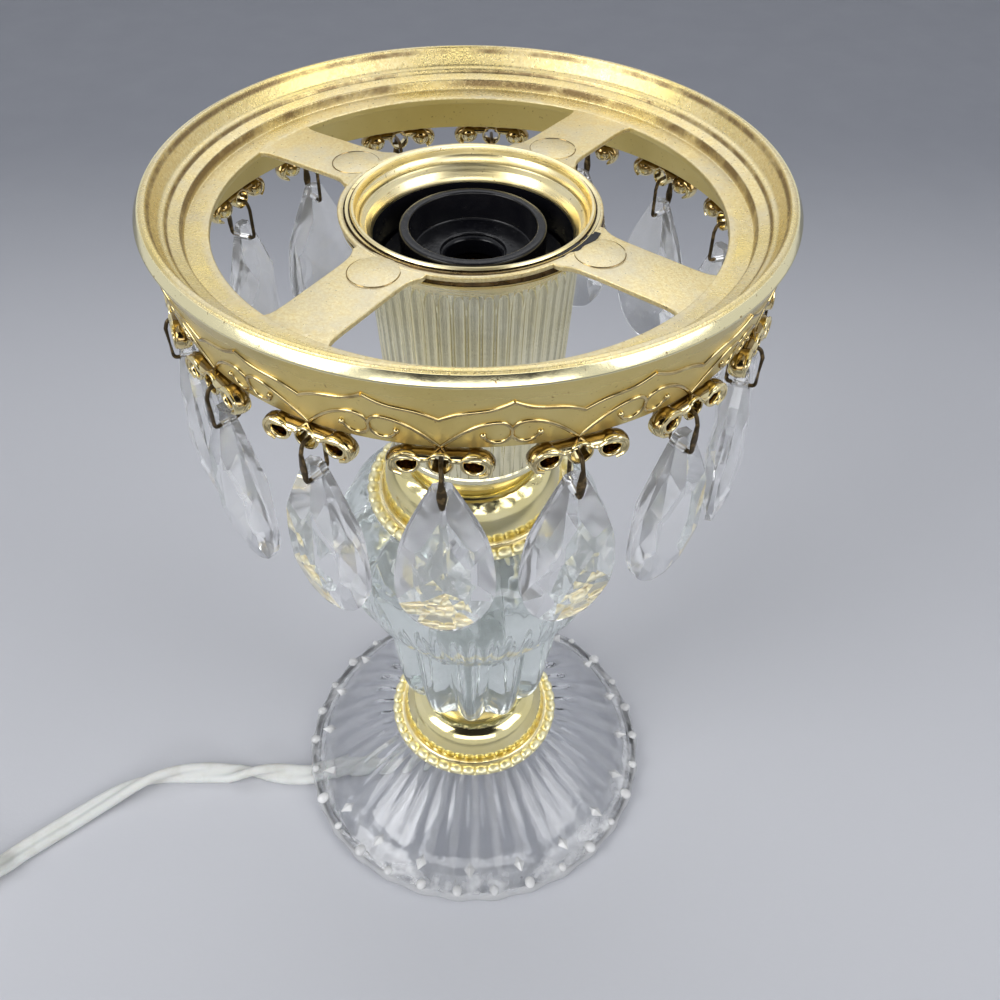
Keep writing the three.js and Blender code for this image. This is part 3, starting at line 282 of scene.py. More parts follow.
def grained(name, colours, tint, shine, relief, specks=None, stretch=None, **inputs):
    """A surface whose colour, roughness and relief each follow a noise, given by its scale and detail.

    tint adds where in the noise the second colour starts and is full, shine adds two values of roughness, and
    relief its depth. specks is like tint, with their colour. stretch makes lines of the shine and the relief.
    """
    t = Tree(name)
    colour = t.mix(t.patches(*tint), *colours)
    if specks:
        colour = t.mix(t.patches(*specks[:4]), colour, specks[4])
    place = None
    if stretch:
        place = t.add("ShaderNodeMapping", {"Vector": t.place, "Scale": stretch}).outputs["Vector"]
    roughness = t.patches(*shine[:2], 0.3, 0.7, *shine[2:], place=place)
    normal = t.bump(t.noise(*relief[:2], place=place), relief[2])
    return t.set(Base_Color=colour, Roughness=roughness, Normal=normal, **inputs)


def gold_gloss():
    """The plated lip, its top band painted paler as a painted highlight, and the skirt below it, which is duller."""
    t = Tree("gold_gloss")
    height = t.parts()["Z"]
    colour = t.mix(t.patches(45, 4, 0.35, 0.7), (0.66, 0.52, 0.18), (0.73, 0.60, 0.25))
    # Painted highlight: a paler colour on the lip's band, above the skirt
    colour = t.mix(t.ramp(height, (RING_TOP - 3.9) * MM, (RING_TOP - 3.2) * MM), colour, (0.95, 0.86, 0.52))
    duller = t.ramp(height, (RING_TOP - 5) * MM, (RING_TOP - 9) * MM, 0.0, 0.22)
    return t.set(Base_Color=t.mix(t.patches(1100, 2, 0.68, 0.76), colour, (0.35, 0.22, 0.07)),
                 Roughness=t.math("ADD", duller, t.patches(160, 4, 0.3, 0.75, 0.12, 0.22)),
                 Metallic=t.ramp(duller, 0, 0.22, 1.0, 0.75), Normal=t.bump(t.noise(420, 3), 0.03))


def gold_satin():
    """The ring's upper faces: etched and dusty on the flat, patchily polished on the steps, darker in patches on steep
    faces and in thin lines along the corners.
    """
    t = Tree("gold_satin")
    dust = t.times(t.ramp(t.upward(), 0.5, 0.95), t.patches(70, 6, 0.42, 0.75, roughness=0.7))
    gold = t.mix(t.patches(1500, 3, 0.42, 0.62, roughness=0.7), (0.78, 0.63, 0.30), (0.90, 0.78, 0.46))
    gold = t.mix(dust, gold, (0.72, 0.66, 0.50))
    steep = t.times(t.ramp(t.upward(), 0.8, 0.35), t.patches(420, 6, 0.56, 0.74, roughness=0.75))
    radius = t.vector("LENGTH", t.vector("MULTIPLY", t.place, (1, 1, 0))["Vector"])["Value"]
    stepped = t.ramp(radius, (LEDGE_RADIUS + 0.8) * MM, (LEDGE_RADIUS + 2) * MM)
    polished = t.times(stepped, t.patches(38, 5, 0.38, 0.62, 1.0, 0.1))
    gold = t.mix(polished, t.mix(steep, gold, (0.34, 0.25, 0.13)), (0.80, 0.64, 0.25))
    # Thin patchy darker lines along the corners
    corner_darkening = 0.0
    for corner in DARKENED_CORNERS:
        beside = t.math("ABSOLUTE", t.math("SUBTRACT", radius, corner * MM))
        corner_darkening = t.math("MAXIMUM", corner_darkening, t.ramp(beside, 0.34 * MM, 0.12 * MM))
    corner_darkening = t.times(corner_darkening, t.patches(60, 4, 0.36, 0.56, 0.1, 0.9, roughness=0.7))
    roughness = t.math("SUBTRACT", t.patches(900, 3, 0.3, 0.7, 0.27, 0.45), t.ramp(polished, 0, 1, 0.0, 0.17))
    return t.set(Base_Color=t.mix(corner_darkening, gold, (0.20, 0.13, 0.06)), Roughness=roughness,
                 Metallic=t.math("MAXIMUM", polished, t.ramp(dust, 0, 1, 0.75, 0.35)),
                 Normal=t.bump(t.noise(2300, 3, 0.7), 0.10))


def phenolic():
    """Black moulding, dusty where it faces up."""
    t = Tree("black_phenolic")
    dust = t.times(t.ramp(t.upward(), 0.5, 0.95), t.patches(900, 5, 0.55, 0.72, roughness=0.7))
    return t.set(Base_Color=t.mix(dust, (0.005, 0.005, 0.007), (0.03, 0.03, 0.034)), Specular_IOR_Level=0.35,
                 Roughness=t.patches(500, 4, 0.3, 0.7, 0.14, 0.28), Normal=t.bump(t.noise(800, 4), 0.06))


def glass(name, colour, index, ripple, haze, milk):
    """Pressed or cut glass: a clear, faintly rippled body, a haze that comes and goes, and a little milkiness, partly
    the glass's own look and partly painted fill light that lifts dark facets to grey.
    """
    t = Tree(name)
    clear = t.patches(60, 3, 0.3, 0.7, 1 - milk, 1 - 0.5 * milk)
    return t.set(Base_Color=colour, Transmission_Weight=clear, IOR=index,
                 Roughness=t.patches(140, 4, 0.45, 0.8, 0.0, haze), Normal=t.bump(t.noise(90, 2), ripple))


def foot_glass():
    """Clear pressed glass with soft pale streaks along its ribs as painted highlights, cloudy patches towards its rim,
    partly frosting and partly painted light, and a whitish outer rim as painted light.
    """
    t = Tree("foot_glass")
    parts, radius = t.parts(), t.vector("LENGTH", t.place)["Value"]
    wave = t.math("COSINE", t.times(t.math("ARCTAN2", parts["X"], parts["Y"]), float(FOOT_RIBS)))
    # Painted highlights: pale streaks along the ribs
    streaks = t.times(t.ramp(wave, -0.2, 1.0), t.patches(70, 4, 0.35, 0.7, 0.04, 0.22))
    rim = t.ramp(radius, 0.050, 0.057)
    # Cloudy patches near the rim: partly frosting, partly painted light
    clouds = t.times(rim, t.patches(120, 3, 0.42, 0.7, 0.05, 0.55))
    # Painted light: the outermost rim is whitened
    edge = t.ramp(radius, 0.0590, 0.0604, 0.0, 0.55)
    cloudy = t.math("MAXIMUM", t.math("MAXIMUM", clouds, edge), streaks)
    ripple = t.times(t.noise(120, 2), t.ramp(rim, 0, 1, 0.3, 1.0))
    return t.set(Base_Color=(0.95, 0.96, 0.98), IOR=1.48, Transmission_Weight=t.math("SUBTRACT", 1.0, cloudy),
                 Roughness=t.math("ADD", t.times(clouds, 0.4), t.patches(140, 4, 0.45, 0.8, 0.0, 0.06)),
                 Normal=t.bump(ripple, 0.35))


def floor_paper():
    """Seamless paper, painted pale round the lamp and darker blue-grey towards the back as a painted falloff of the
    light, and glowing pale where it rises far away, as painted light.

    The metal mirrors it darker in front, as painted shade where somebody would stand.
    """
    t = Tree("floor_paper")
    parts = t.parts()
    back, across = t.math("MAXIMUM", parts["Y"], 0.0), t.times(parts["X"], 0.35)
    distance = t.math("SQRT", t.math("ADD", t.times(back, back), t.times(across, across)))
    # Painted shade: the paper darkens with distance from the lamp, for the light's falloff
    inputs = {"Value": distance, "From Min": 0.12, "From Max": 0.54}
    share = t.add("ShaderNodeMapRange", inputs, interpolation_type="SMOOTHSTEP").outputs["Result"]
    paper = t.mix(share, (0.62, 0.63, 0.67), (0.285, 0.297, 0.335))
    # Painted shade, seen only in reflections of the floor in front
    mirrored = t.add("ShaderNodeLightPath").outputs["Is Glossy Ray"]
    painted_shade_in_front = t.times(mirrored, t.ramp(parts["Y"], -0.14, -0.27))
    t.set(Base_Color=t.mix(painted_shade_in_front, paper, (0.25, 0.26, 0.28)), Specular_IOR_Level=0.2,
          Roughness=t.patches(30, 4, 0.3, 0.7, 0.55, 0.7), Normal=t.bump(t.noise(700, 4), 0.05))
    # Painted light: far away the sweep glows for camera, glossy and transmission rays
    far = t.times(t.ramp(t.vector("LENGTH", t.place)["Value"], 1.1, 1.5), t.math("MAXIMUM", *t.rays()))
    glow = t.add("ShaderNodeEmission", {"Color": (0.66, 0.68, 0.73)})
    both = t.add("ShaderNodeMixShader", {"Fac": far, 1: t.shader.outputs["BSDF"], 2: glow.outputs["Emission"]})
    t.join(both.outputs["Shader"], t.nodes["Material Output"].inputs["Surface"])
    return t.material


def studio_world():
    """A dim pale room for the light it gives. Metal and glass see it bright, with a dark patch high in front."""
    t = Tree("studio", world=True)
    patch = t.vector("DOT_PRODUCT", t.place, (0.0, -0.66, 0.75))["Value"]
    room = t.mix(t.ramp(patch, 0.80, 0.90), (0.60, 0.62, 0.66), (0.02, 0.02, 0.022))
    seen, mirrored = t.rays()
    plain = t.mix(seen, (0.22, 0.23, 0.25), (0.60, 0.62, 0.66))
    return t.set(Color=t.mix(mirrored, plain, room))


# The scrolls and raised lines have the same plating, browner in patches where its layer is thin; the darker copies for
# the raised lines and the shaded loop faces are painted shade and painted dark reflections
PLATING = {"tint": (260, 4, 0.4, 0.7), "shine": (300, 3, 0.06, 0.16), "relief": (500, 3, 0.03), "Metallic": 1.0}
GOLD_RELIEF = grained("gold_relief", ((0.84, 0.73, 0.42), (0.66, 0.52, 0.26)), **PLATING)
GOLD_LINE_SHADED = grained("gold_line_painted_shade", ((0.66, 0.53, 0.26), (0.42, 0.31, 0.13)), **PLATING)
GOLD_SHADE = grained("gold_shade", ((0.36, 0.26, 0.11), (0.20, 0.13, 0.05)), **PLATING)
GOLD_GLOSS = gold_gloss()
GOLD_SATIN = gold_satin()
CHAMPAGNE = grained("champagne_plating", ((0.84, 0.77, 0.50), (0.92, 0.87, 0.64)), (60, 4, 0.35, 0.7),
                    (300, 4, 0.12, 0.24), (700, 3, 0.03), Metallic=1.0)
DISH_GOLD = grained("dish_gold", ((0.88, 0.74, 0.38), (0.96, 0.86, 0.56)), (80, 5, 0.35, 0.7),
                    (420, 3, 0.22, 0.38), (420, 3, 0.02), specks=(800, 3, 0.66, 0.74, (0.30, 0.20, 0.08)),
                    stretch=(0.15, 0.15, 6), Metallic=1.0)
BRASS = grained("polished_brass", ((0.88, 0.77, 0.38), (0.94, 0.85, 0.50)), (70, 5, 0.4, 0.7),
                (260, 4, 0.06, 0.14), (260, 4, 0.012), stretch=(1, 1, 14), Metallic=1.0)
BEAD_BRASS = grained("bead_brass", ((0.94, 0.84, 0.46), (0.98, 0.93, 0.66)), (600, 4, 0.35, 0.7),
                     (600, 4, 0.34, 0.5), (600, 4, 0.02), Metallic=1.0)
CONTACT_BRASS = grained("contact_brass", ((0.86, 0.66, 0.36), (0.48, 0.33, 0.17)), (350, 5, 0.45, 0.75),
                        (900, 3, 0.16, 0.36), (1200, 2, 0.02), Metallic=1.0)
DARK_BRASS = grained("dark_brass", ((0.10, 0.075, 0.05), (0.20, 0.14, 0.08)), (400, 4, 0.4, 0.7),
                     (700, 3, 0.2, 0.4), (900, 2, 0.02), Metallic=1.0)
STEEL = grained("zinc_steel", ((0.48, 0.49, 0.50), (0.70, 0.70, 0.69)), (90, 4, 0.0, 1.0),
                (700, 3, 0.25, 0.45), (700, 3, 0.03), stretch=(1, 1, 6), Metallic=1.0)
WIRE = grained("bronze_wire", ((0.07, 0.05, 0.025), (0.34, 0.23, 0.10)), (500, 4, 0.5, 0.72),
               (1100, 3, 0.3, 0.55), (1600, 3, 0.05), Metallic=0.85)
PHENOLIC = phenolic()
FOOT_GLASS = foot_glass()
# Painted highlight: the foot's knobs and stars are nearly all milky white
KNOB_GLASS = glass("knob_glass", (1.0, 1.0, 1.0), 1.50, 0.3, 0.2, 0.9)
GREEN_GLASS = glass("green_glass", (0.91, 0.965, 0.95), 1.50, 0.6, 0.10, 0.22)
CRYSTAL = glass("crystal", (0.985, 0.99, 0.995), 1.45, 0.02, 0.02, 0.16)
VINYL = grained("cord_vinyl", ((0.80, 0.79, 0.76), (0.66, 0.64, 0.58)), (120, 5, 0.5, 0.8),
                (600, 3, 0.34, 0.5), (900, 3, 0.04), Subsurface_Weight=0.08)
WHITE_PLASTIC = grained("white_plastic", ((0.82, 0.81, 0.77), (0.74, 0.72, 0.66)), (80, 4, 0.4, 0.8),
                        (400, 3, 0.28, 0.42), (2200, 2, 0.03))
PAPER = floor_paper()


# Mesh tools: a shape is (points, faces), with its points in millimetres


def arc(centre, radius, start, end, steps):
    """Points on an arc, with its angles in degrees."""
    angles = np.radians(np.linspace(start, end, steps))
    return [[centre[0] + radius * math.cos(a), centre[1] + radius * math.sin(a)] for a in angles]


def circle(radius, sides):
    return [[radius * math.cos(a), radius * math.sin(a)] for a in np.arange(sides) / sides * TURN]


def fade(distance, over):
    """Rises from 0 to 1 over the given distance, and stays at 1."""
    return np.clip(distance / over, 0, 1)


def rounded(outline, steps=4, closed=True):
    """An outline whose corners are [x, y] or [x, y, fillet], with its fillets drawn."""
    points = []
    count = len(outline)
    for i, corner in enumerate(outline):
        here = np.array(corner[:2], float)
        if len(corner) < 3 or (not closed and i in (0, count - 1)):
            points.append(here)
            continue
        before = np.array(outline[i - 1][:2], float) - here
        after = np.array(outline[(i + 1) % count][:2], float) - here
        reach = min(corner[2], np.linalg.norm(before) * 0.49, np.linalg.norm(after) * 0.49)
        start = here + before / np.linalg.norm(before) * reach
        end = here + after / np.linalg.norm(after) * reach
        for t in np.linspace(0, 1, steps + 1):
            points.append((1 - t) ** 2 * start + 2 * t * (1 - t) * here + t**2 * end)
    return np.array(points)


def mirrored_plan(half):
    """A housing's outline from the [x, y, fillet] corners of its left side."""
    return rounded(half + [[x, -y, fillet] for x, y, fillet in reversed(half)], 6)


def smooth_line(points, steps):
    """A smooth line through points, with the given number of steps between neighbours."""
    points = np.array(points, float)
    before = np.vstack([2 * points[0] - points[1], points[:-1]])
    after = np.vstack([points[1:], 2 * points[-1] - points[-2]])
    slopes = (after - before) / 2
    line = []
    for i in range(len(points) - 1):
        for t in np.arange(steps) / steps:
            line.append((2 * t**3 - 3 * t**2 + 1) * points[i] + (t**3 - 2 * t**2 + t) * slopes[i]
                        + (3 * t**2 - 2 * t**3) * points[i + 1] + (t**3 - t**2) * slopes[i + 1])
    return np.array([*line, points[-1]])


def strip_faces(rows, columns, closed):
    """The faces between rows of points that each go round. closed joins the last row to the first."""
    faces = []
    for i in range(rows if closed else rows - 1):
        for k in range(columns):
            j, l = (i + 1) % rows, (k + 1) % columns
            faces.append((i * columns + k, i * columns + l, j * columns + l, j * columns + k))
    return faces


def lofted(rings):
    """A shape through rings of points, with flat ends."""
    rows, count = rings.shape[:2]
    ends = [tuple(range(count)), tuple(reversed(range((rows - 1) * count, rows * count)))]
    return rings.reshape(-1, 3), strip_faces(rows, count, False) + ends


def revolve(outline, sides, shape=None):
    """A closed outline of [radius, height] turned about Z. shape(angle, radius, height) may move its points."""
    outline = np.array(outline, float)
    angle = np.arange(sides)[None, :] / sides * TURN
    radius, height = np.repeat(outline[:, :1], sides, 1), np.repeat(outline[:, 1:2], sides, 1)
    if shape:
        radius, height = shape(angle, radius, height)
    points = np.stack([radius * np.cos(angle), radius * np.sin(angle), height + 0 * angle], -1)
    return points.reshape(-1, 3), strip_faces(len(outline), sides, True)


def sweep(path, section, up, widths=1.0, heights=1.0, twists=0.0):
    """A section of [across, up] points carried along a path, which may scale it and twist it by degrees."""
    path, section = np.array(path, float), np.array(section, float)
    along = np.gradient(path, axis=0)
    along /= np.linalg.norm(along, axis=1)[:, None]
    side = np.cross(along, np.broadcast_to(np.array(up, float), path.shape))
    side /= np.linalg.norm(side, axis=1)[:, None]
    lift = np.cross(side, along)
    wide, tall, turn = (np.broadcast_to(v, len(path))[:, None] for v in (widths, heights, np.radians(twists)))
    side, lift = side * np.cos(turn) + lift * np.sin(turn), lift * np.cos(turn) - side * np.sin(turn)
    return lofted(path[:, None] + side[:, None] * (section[None, :, :1] * wide[:, None])
                  + lift[:, None] * (section[None, :, 1:] * tall[:, None]))


def prism(outline, bottom, top):
    """A plan outline of [x, y] points between two heights."""
    outline = np.array(outline, float)
    count = len(outline)
    points = np.vstack([np.column_stack([outline, np.full(count, z)]) for z in (bottom, top)])
    sides = [(i, (i + 1) % count, count + (i + 1) % count, count + i) for i in range(count)]
    return points, [*sides, tuple(reversed(range(count))), tuple(range(count, 2 * count))]


def ball(radius, sides=12):
    angles = np.linspace(-math.pi / 2, math.pi / 2, 9)
    return revolve([[max(radius * math.cos(a), 0.001), radius * math.sin(a)] for a in angles], sides)


def moved(shape, matrix):
    points, faces = shape
    return points @ np.array(matrix.to_3x3()).T + np.array(matrix.translation), faces


def turned(shape, degrees, axis="Z"):
    return moved(shape, Matrix.Rotation(math.radians(degrees), 4, axis))


def shifted(shape, x=0.0, y=0.0, z=0.0):
    return moved(shape, Matrix.Translation((x, y, z)))


def around(shapes, count, start):
    """Copies of shapes round Z, the first turned by start degrees."""
    return [turned(shape, start + i * 360 / count) for i in range(count) for shape in shapes]


def mesh_of(name, shapes):
    points, faces = [], []
    count = 0
    for shape_points, shape_faces in shapes:
        points.append(np.asarray(shape_points, float) * MM)
        faces += [tuple(count + i for i in face) for face in shape_faces]
        count += len(shape_points)
    mesh = bpy.data.meshes.new(name)
    mesh.from_pydata(np.vstack(points).tolist(), [], faces)
    return mesh


def mend(mesh, join=None):
    """Turns a mesh's faces outward, after joining points that are closer than join."""
    edit = bmesh.new()
    edit.from_mesh(mesh)
    if join:
        bmesh.ops.remove_doubles(edit, verts=edit.verts, dist=join)
    bmesh.ops.recalc_face_normals(edit, faces=edit.faces)
    edit.to_mesh(mesh)
    edit.free()


def cut_away(mesh, tool):
    """The mesh without the room that a shape takes."""
    things = []
    for one in (mesh, mesh_of("cutter", [tool])):
        mend(one)
        things.append(linked(one.name, one))
    cut = things[0].modifiers.new("cut", "BOOLEAN")
    cut.operation, cut.solver, cut.object = "DIFFERENCE", "EXACT", things[1]
    bpy.context.view_layer.update()
    result = bpy.data.meshes.new_from_object(things[0].evaluated_get(bpy.context.evaluated_depsgraph_get()))
    for thing in things:
        bpy.data.objects.remove(thing)
    return result


def piece(name, shapes, material, replaces="", body="lamp", sharp=35.0, bevel=0.0, extra=()):
    """One object from a mesh or a list of shapes, riding on a body. replaces lists the CAD nodes it stands for."""
    mesh = shapes if isinstance(shapes, bpy.types.Mesh) else mesh_of(name, shapes)
    mend(mesh, join=1e-7)
    mesh.shade_smooth()
    mesh.set_sharp_from_angle(angle=math.radians(sharp))
    for one in (material, *extra):
        mesh.materials.append(one)
    thing = linked(name, mesh)
    if bevel:
        soft = thing.modifiers.new("edges", "BEVEL")
        soft.width, soft.segments, soft.limit_method = bevel * MM, 3, "ANGLE"
        soft.angle_limit = math.radians(30)
    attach(thing, body)
    if replaces:
        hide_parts(*replaces.split())
    return thing


def paint(thing, choose):
    """Gives each face the material whose number choose(x, y, z, radius, normal) gives."""
    for face in thing.data.polygons:
        x, y, z = (v / MM for v in face.center)
        face.material_index = int(choose(x, y, z, math.hypot(x, y), face.normal))


# Cord, switch and plug


def heading_vector(heading):
    return np.array([math.cos(heading), math.sin(heading), 0.0])


def coil_points(start, heading):
    """The coil's centreline: in on the lower layer and out on the upper one, as the frame has it."""
    entry = heading + math.pi / 2
    turns = COIL_TURNS + (entry - COIL_EXIT_ANGLE) % TURN / TURN
    outer = COIL_INNER_RADIUS + COIL_PITCH * turns / 2
    first = np.array([start[0], start[1], CORD_WIDTH / 2 + 0.1])
    centre = first + heading_vector(heading) * CORD_WIDTH - heading_vector(entry) * outer
    points = [first]
    steps = round(turns * COIL_STEPS)
    for step in range(steps + 1):
        done = step / steps * turns
        past = done - turns / 2
        rise = fade(past + 0.25, 0.5)
        climb = COIL_PITCH * rise * rise * (3 - 2 * rise)
        radius = COIL_INNER_RADIUS + COIL_PITCH * abs(past)
        points.append(centre + radius * heading_vector(entry - done * TURN) + np.array([0, 0, climb]))
    points.append(points[-1] + heading_vector(COIL_EXIT_HEADING) * CORD_WIDTH)
    return points


def tail_points(start):
    """From the coil down to the plug, on an arc."""
    heading, bend = COIL_EXIT_HEADING, TAIL_LENGTH / TAIL_RADIUS
    points = []
    for share in np.linspace(0, 1, 5):
        now = heading - bend * share
        fall = share * share * (3 - 2 * share)
        points.append([start[0] + TAIL_RADIUS * (math.sin(heading) - math.sin(now)),
                       start[1] + TAIL_RADIUS * (math.cos(now) - math.cos(heading)),
                       start[2] + (PLUG_HEIGHT / 2 - start[2]) * fall])
    return points, heading - bend


def cord_section():
    """Two round cores side by side with a groove between them, as [across, up]."""
    right = arc((CORD_WIDTH / 2 - CORD_CORE, 0), CORD_CORE, -142, 142, 11)
    return right + [[-x, -y] for x, y in right]


def make_cord():
    """The cord's line as [x, y, height, twist], where its switch and its plug start, and the plug's heading."""
    ahead = heading_vector(CORD_HEADING)
    route = [np.array(p) for p in CORD_POINTS]
    twists = list(CORD_TWISTS)
    switch_start = route[-1] + ahead * (CORD_STRAIGHT + SEAT)
    switch_start[2] = 0
    for distance in (0, SWITCH_LENGTH / 3, SWITCH_LENGTH * 2 / 3, SWITCH_LENGTH + SEAT,
                     SWITCH_LENGTH + CORD_STRAIGHT):
        route.append(switch_start + ahead * distance + np.array([0, 0, SWITCH_HEIGHT / 2]))
        twists.append(360)
    after_end = switch_start + ahead * (SWITCH_LENGTH + SEAT + AFTER_SWITCH)
    coil = coil_points(after_end + ahead * SEAT, CORD_HEADING)
    route += coil
    twists += list(360 + np.arange(len(coil)) / COIL_STEPS * COIL_TWIST)
    tail, plug_heading = tail_points(coil[-1] + heading_vector(COIL_EXIT_HEADING) * SEAT)
    route += [np.array(p) for p in tail[1:]]
    twists += list(np.linspace(twists[-1], math.ceil(twists[-1] / 180) * 180, 5)[1:])
    plug_start = np.array(tail[-1]) + heading_vector(plug_heading) * SEAT
    line = smooth_line(np.column_stack([np.array(route), twists]), 5)
    lift = (CORD_WIDTH / 2 - CORD_CORE) * np.abs(np.sin(np.radians(line[:, 3])))
    line[:, 2] = np.maximum(line[:, 2], CORD_CORE + 0.1 + lift)
    return line, switch_start, plug_start, plug_heading


def add_cord():
    line, switch_start, plug_start, plug_heading = make_cord()
    path = line[:, :3]
    cord = piece("lamp_cord", [sweep(path, cord_section(), (0, 0, 1), twists=line[:, 3])], VINYL,
                 "cord_to_switch cord_after_switch cord_coil cord_tail", sharp=80)
    on_cord = [*add_switch(switch_start), *add_plug(plug_start, plug_heading)]


def lying_matrix(start, heading):
    return Matrix.Translation((start[0], start[1], 0)) @ Matrix.Rotation(heading, 4, "Z")


def strain_relief(length, wide, tall, height, start, direction):
    """A ribbed sleeve along X from a housing, with its width and height as (at the housing, at its end)."""
    x = np.linspace(0, length, 41)
    share = x / length
    ribs = 1 + 0.06 * np.sign(np.sin(share * TURN * 5)) * (share < 0.93)
    path = np.column_stack([start + direction * x, 0 * x, 0 * x + height])
    widths, heights = ((first + (last - first) * share) * ribs for first, last in (wide, tall))
    return sweep(path, circle(0.5, 20), (0, 0, 1), widths, heights)


def add_switch(start):
    matrix = lying_matrix(start, CORD_HEADING)
    middle, wide, neck = SWITCH_HEIGHT / 2, SWITCH_WIDTH / 2, SWITCH_NECK / 2
    outline = mirrored_plan([[0, neck, 2], [SWITCH_LENGTH * 0.3, wide, 8], [SWITCH_LENGTH * 0.7, wide, 8],
                             [SWITCH_LENGTH, neck, 2]])
    centre = (SWITCH_LENGTH / 2, wide + WHEEL_REACH - WHEEL_RADIUS)
    half_room = WHEEL_WIDTH / 2 + 0.3
    room = moved(shifted(prism(circle(WHEEL_RADIUS + 0.4, 48), middle - half_room, middle + half_room), *centre),
                 matrix)
    pieces = []
    for name, node, bottom, top in (("switch_lower_shell", "switch_base", LIFT, middle - SWITCH_SPLIT),
                                    ("switch_upper_shell", "switch_cover", middle + SWITCH_SPLIT, SWITCH_HEIGHT)):
        mesh = cut_away(mesh_of(name, [moved(prism(outline, bottom, top), matrix)]), room)
        pieces.append(piece(name, mesh, WHITE_PLASTIC, node, bevel=1.1))
    screw = revolve(rounded([[0.01, 0], [2.4, 0], [2.4, 0.5, 0.3], [0.9, 0.75, 0.3], [0.01, 0.3]], 3), 20)
    screws = [moved(shifted(screw, SWITCH_LENGTH * share, 0, SWITCH_HEIGHT - 0.15), matrix) for share in (0.2, 0.8)]
    pieces.append(piece("switch_screws", screws, STEEL))

    def serrated(angle, radius, height):
        notch = np.where(radius > WHEEL_RADIUS - 0.9, 0.45 * (np.sin(angle * WHEEL_TEETH) > 0), 0)
        return radius - notch, height

    half = WHEEL_WIDTH / 2
    rim = rounded([[WHEEL_BORE, -half, 0.3], [WHEEL_RADIUS, -half, 0.5], [WHEEL_RADIUS, half, 0.5],
                   [WHEEL_BORE, half, 0.3]], 3)
    wheel = moved(shifted(revolve(rim, WHEEL_TEETH * 4, serrated), *centre, middle), matrix)
    pieces.append(piece("switch_thumb_wheel", [wheel], WHITE_PLASTIC, "switch_wheel",
                        body="thumb_wheel"))
    reliefs = [moved(strain_relief(length, (10.4, 8.4), (8.6, 5.4), middle, place, direction), matrix)
               for length, place, direction in ((20, 1.5, -1), (16, SWITCH_LENGTH - 1.5, 1))]
    pieces.append(piece("switch_strain_reliefs", reliefs, WHITE_PLASTIC, sharp=50))
    return pieces


def add_plug(start, heading):
    matrix = lying_matrix(start, heading)
    wide, neck = PLUG_WIDTH / 2, PLUG_NECK / 2
    outline = mirrored_plan([[0, neck, 1.5], [PLUG_LENGTH * 0.35, neck + 1.5, 5], [PLUG_LENGTH * 0.6, wide, 5],
                             [PLUG_LENGTH, wide, 1.5]])
    rib = rounded([[-0.45, -0.5], [0.45, -0.5], [0.45, 0.5, 0.4], [-0.45, 0.5, 0.4]], 3)
    grips = [moved(sweep([[x, y, PLUG_HEIGHT + 0.1] for y in np.linspace(-7, 7, 9)], rib, (0, 0, 1)), matrix)
             for x in (17.5, 19.5, 21.5, 23.5)]
    relief = strain_relief(22, (10.5, 8.2), (9.5, 5.2), PLUG_HEIGHT / 2, 1.5, -1)
    return [
        piece("plug_moulding", [moved(prism(outline, LIFT, PLUG_HEIGHT), matrix)], VINYL,
              "plug_body", bevel=1.8),
        piece("plug_grips", grips, VINYL),
        piece("plug_strain_relief", [moved(relief, matrix)], VINYL, sharp=50),
        add_blade("plug_blade_a", 1, matrix),
        add_blade("plug_blade_b", -1, matrix),
    ]


def add_blade(name, side, matrix):
    """A flat blade with a rounded tip and a hole near it."""
    wide, half = BLADE_WIDTH / 2, BLADE_THICKNESS / 2
    outline = rounded([[0, -wide], [BLADE_LENGTH, -wide, 1.6], [BLADE_LENGTH, wide, 1.6], [0, wide]], 4)
    upright = matrix @ (Matrix.Translation((PLUG_LENGTH, side * BLADE_SPACING / 2, PLUG_HEIGHT / 2))
                        @ Matrix.Rotation(math.pi / 2, 4, "X"))
    hole = shifted(revolve([[0.9, -0.05], [1.5, -0.05], [1.5, 0.05], [0.9, 0.05]], 20), BLADE_LENGTH - 4, 0, 0.78)
    return piece(name + "_brass", [moved(prism(outline, -half, half), upright), moved(hole, upright)],
                 CONTACT_BRASS, name, bevel=0.25)


def add_inner_lead():
    """The cord inside the lamp: down the tube, round a bend and out under the foot."""
    reach = math.hypot(*CORD_POINTS[0][:2]) - SEAT
    height = CORD_POINTS[0][2]
    points = [[0, 0, SOCKET_BOTTOM - SEAT - z] for z in np.linspace(0, 150, 12)]
    points += [[LEAD_BEND_RADIUS * (1 - math.cos(a)), 0, height + LEAD_BEND_RADIUS * (1 - math.sin(a))]
               for a in np.linspace(0, math.pi / 2, 7)]
    points += [[x, 0, height] for x in np.linspace(LEAD_BEND_RADIUS + 10, reach, 4)]
    line = smooth_line([p for p in points if p[2] >= height], 4)
    line[:, 2] = np.maximum(line[:, 2], height)
    along = np.gradient(line, axis=0)
    upward = np.column_stack([-along[:, 2], np.zeros(len(line)), along[:, 0]])
    lead = moved(sweep(line, cord_section(), upward), Matrix.Rotation(NOTCH_ANGLE, 4, "Z"))
    piece("inner_cord", [lead], VINYL, "inner_lead", sharp=80)


# Shade ring, with heights from its top and outlines as [radius, height, fillet]


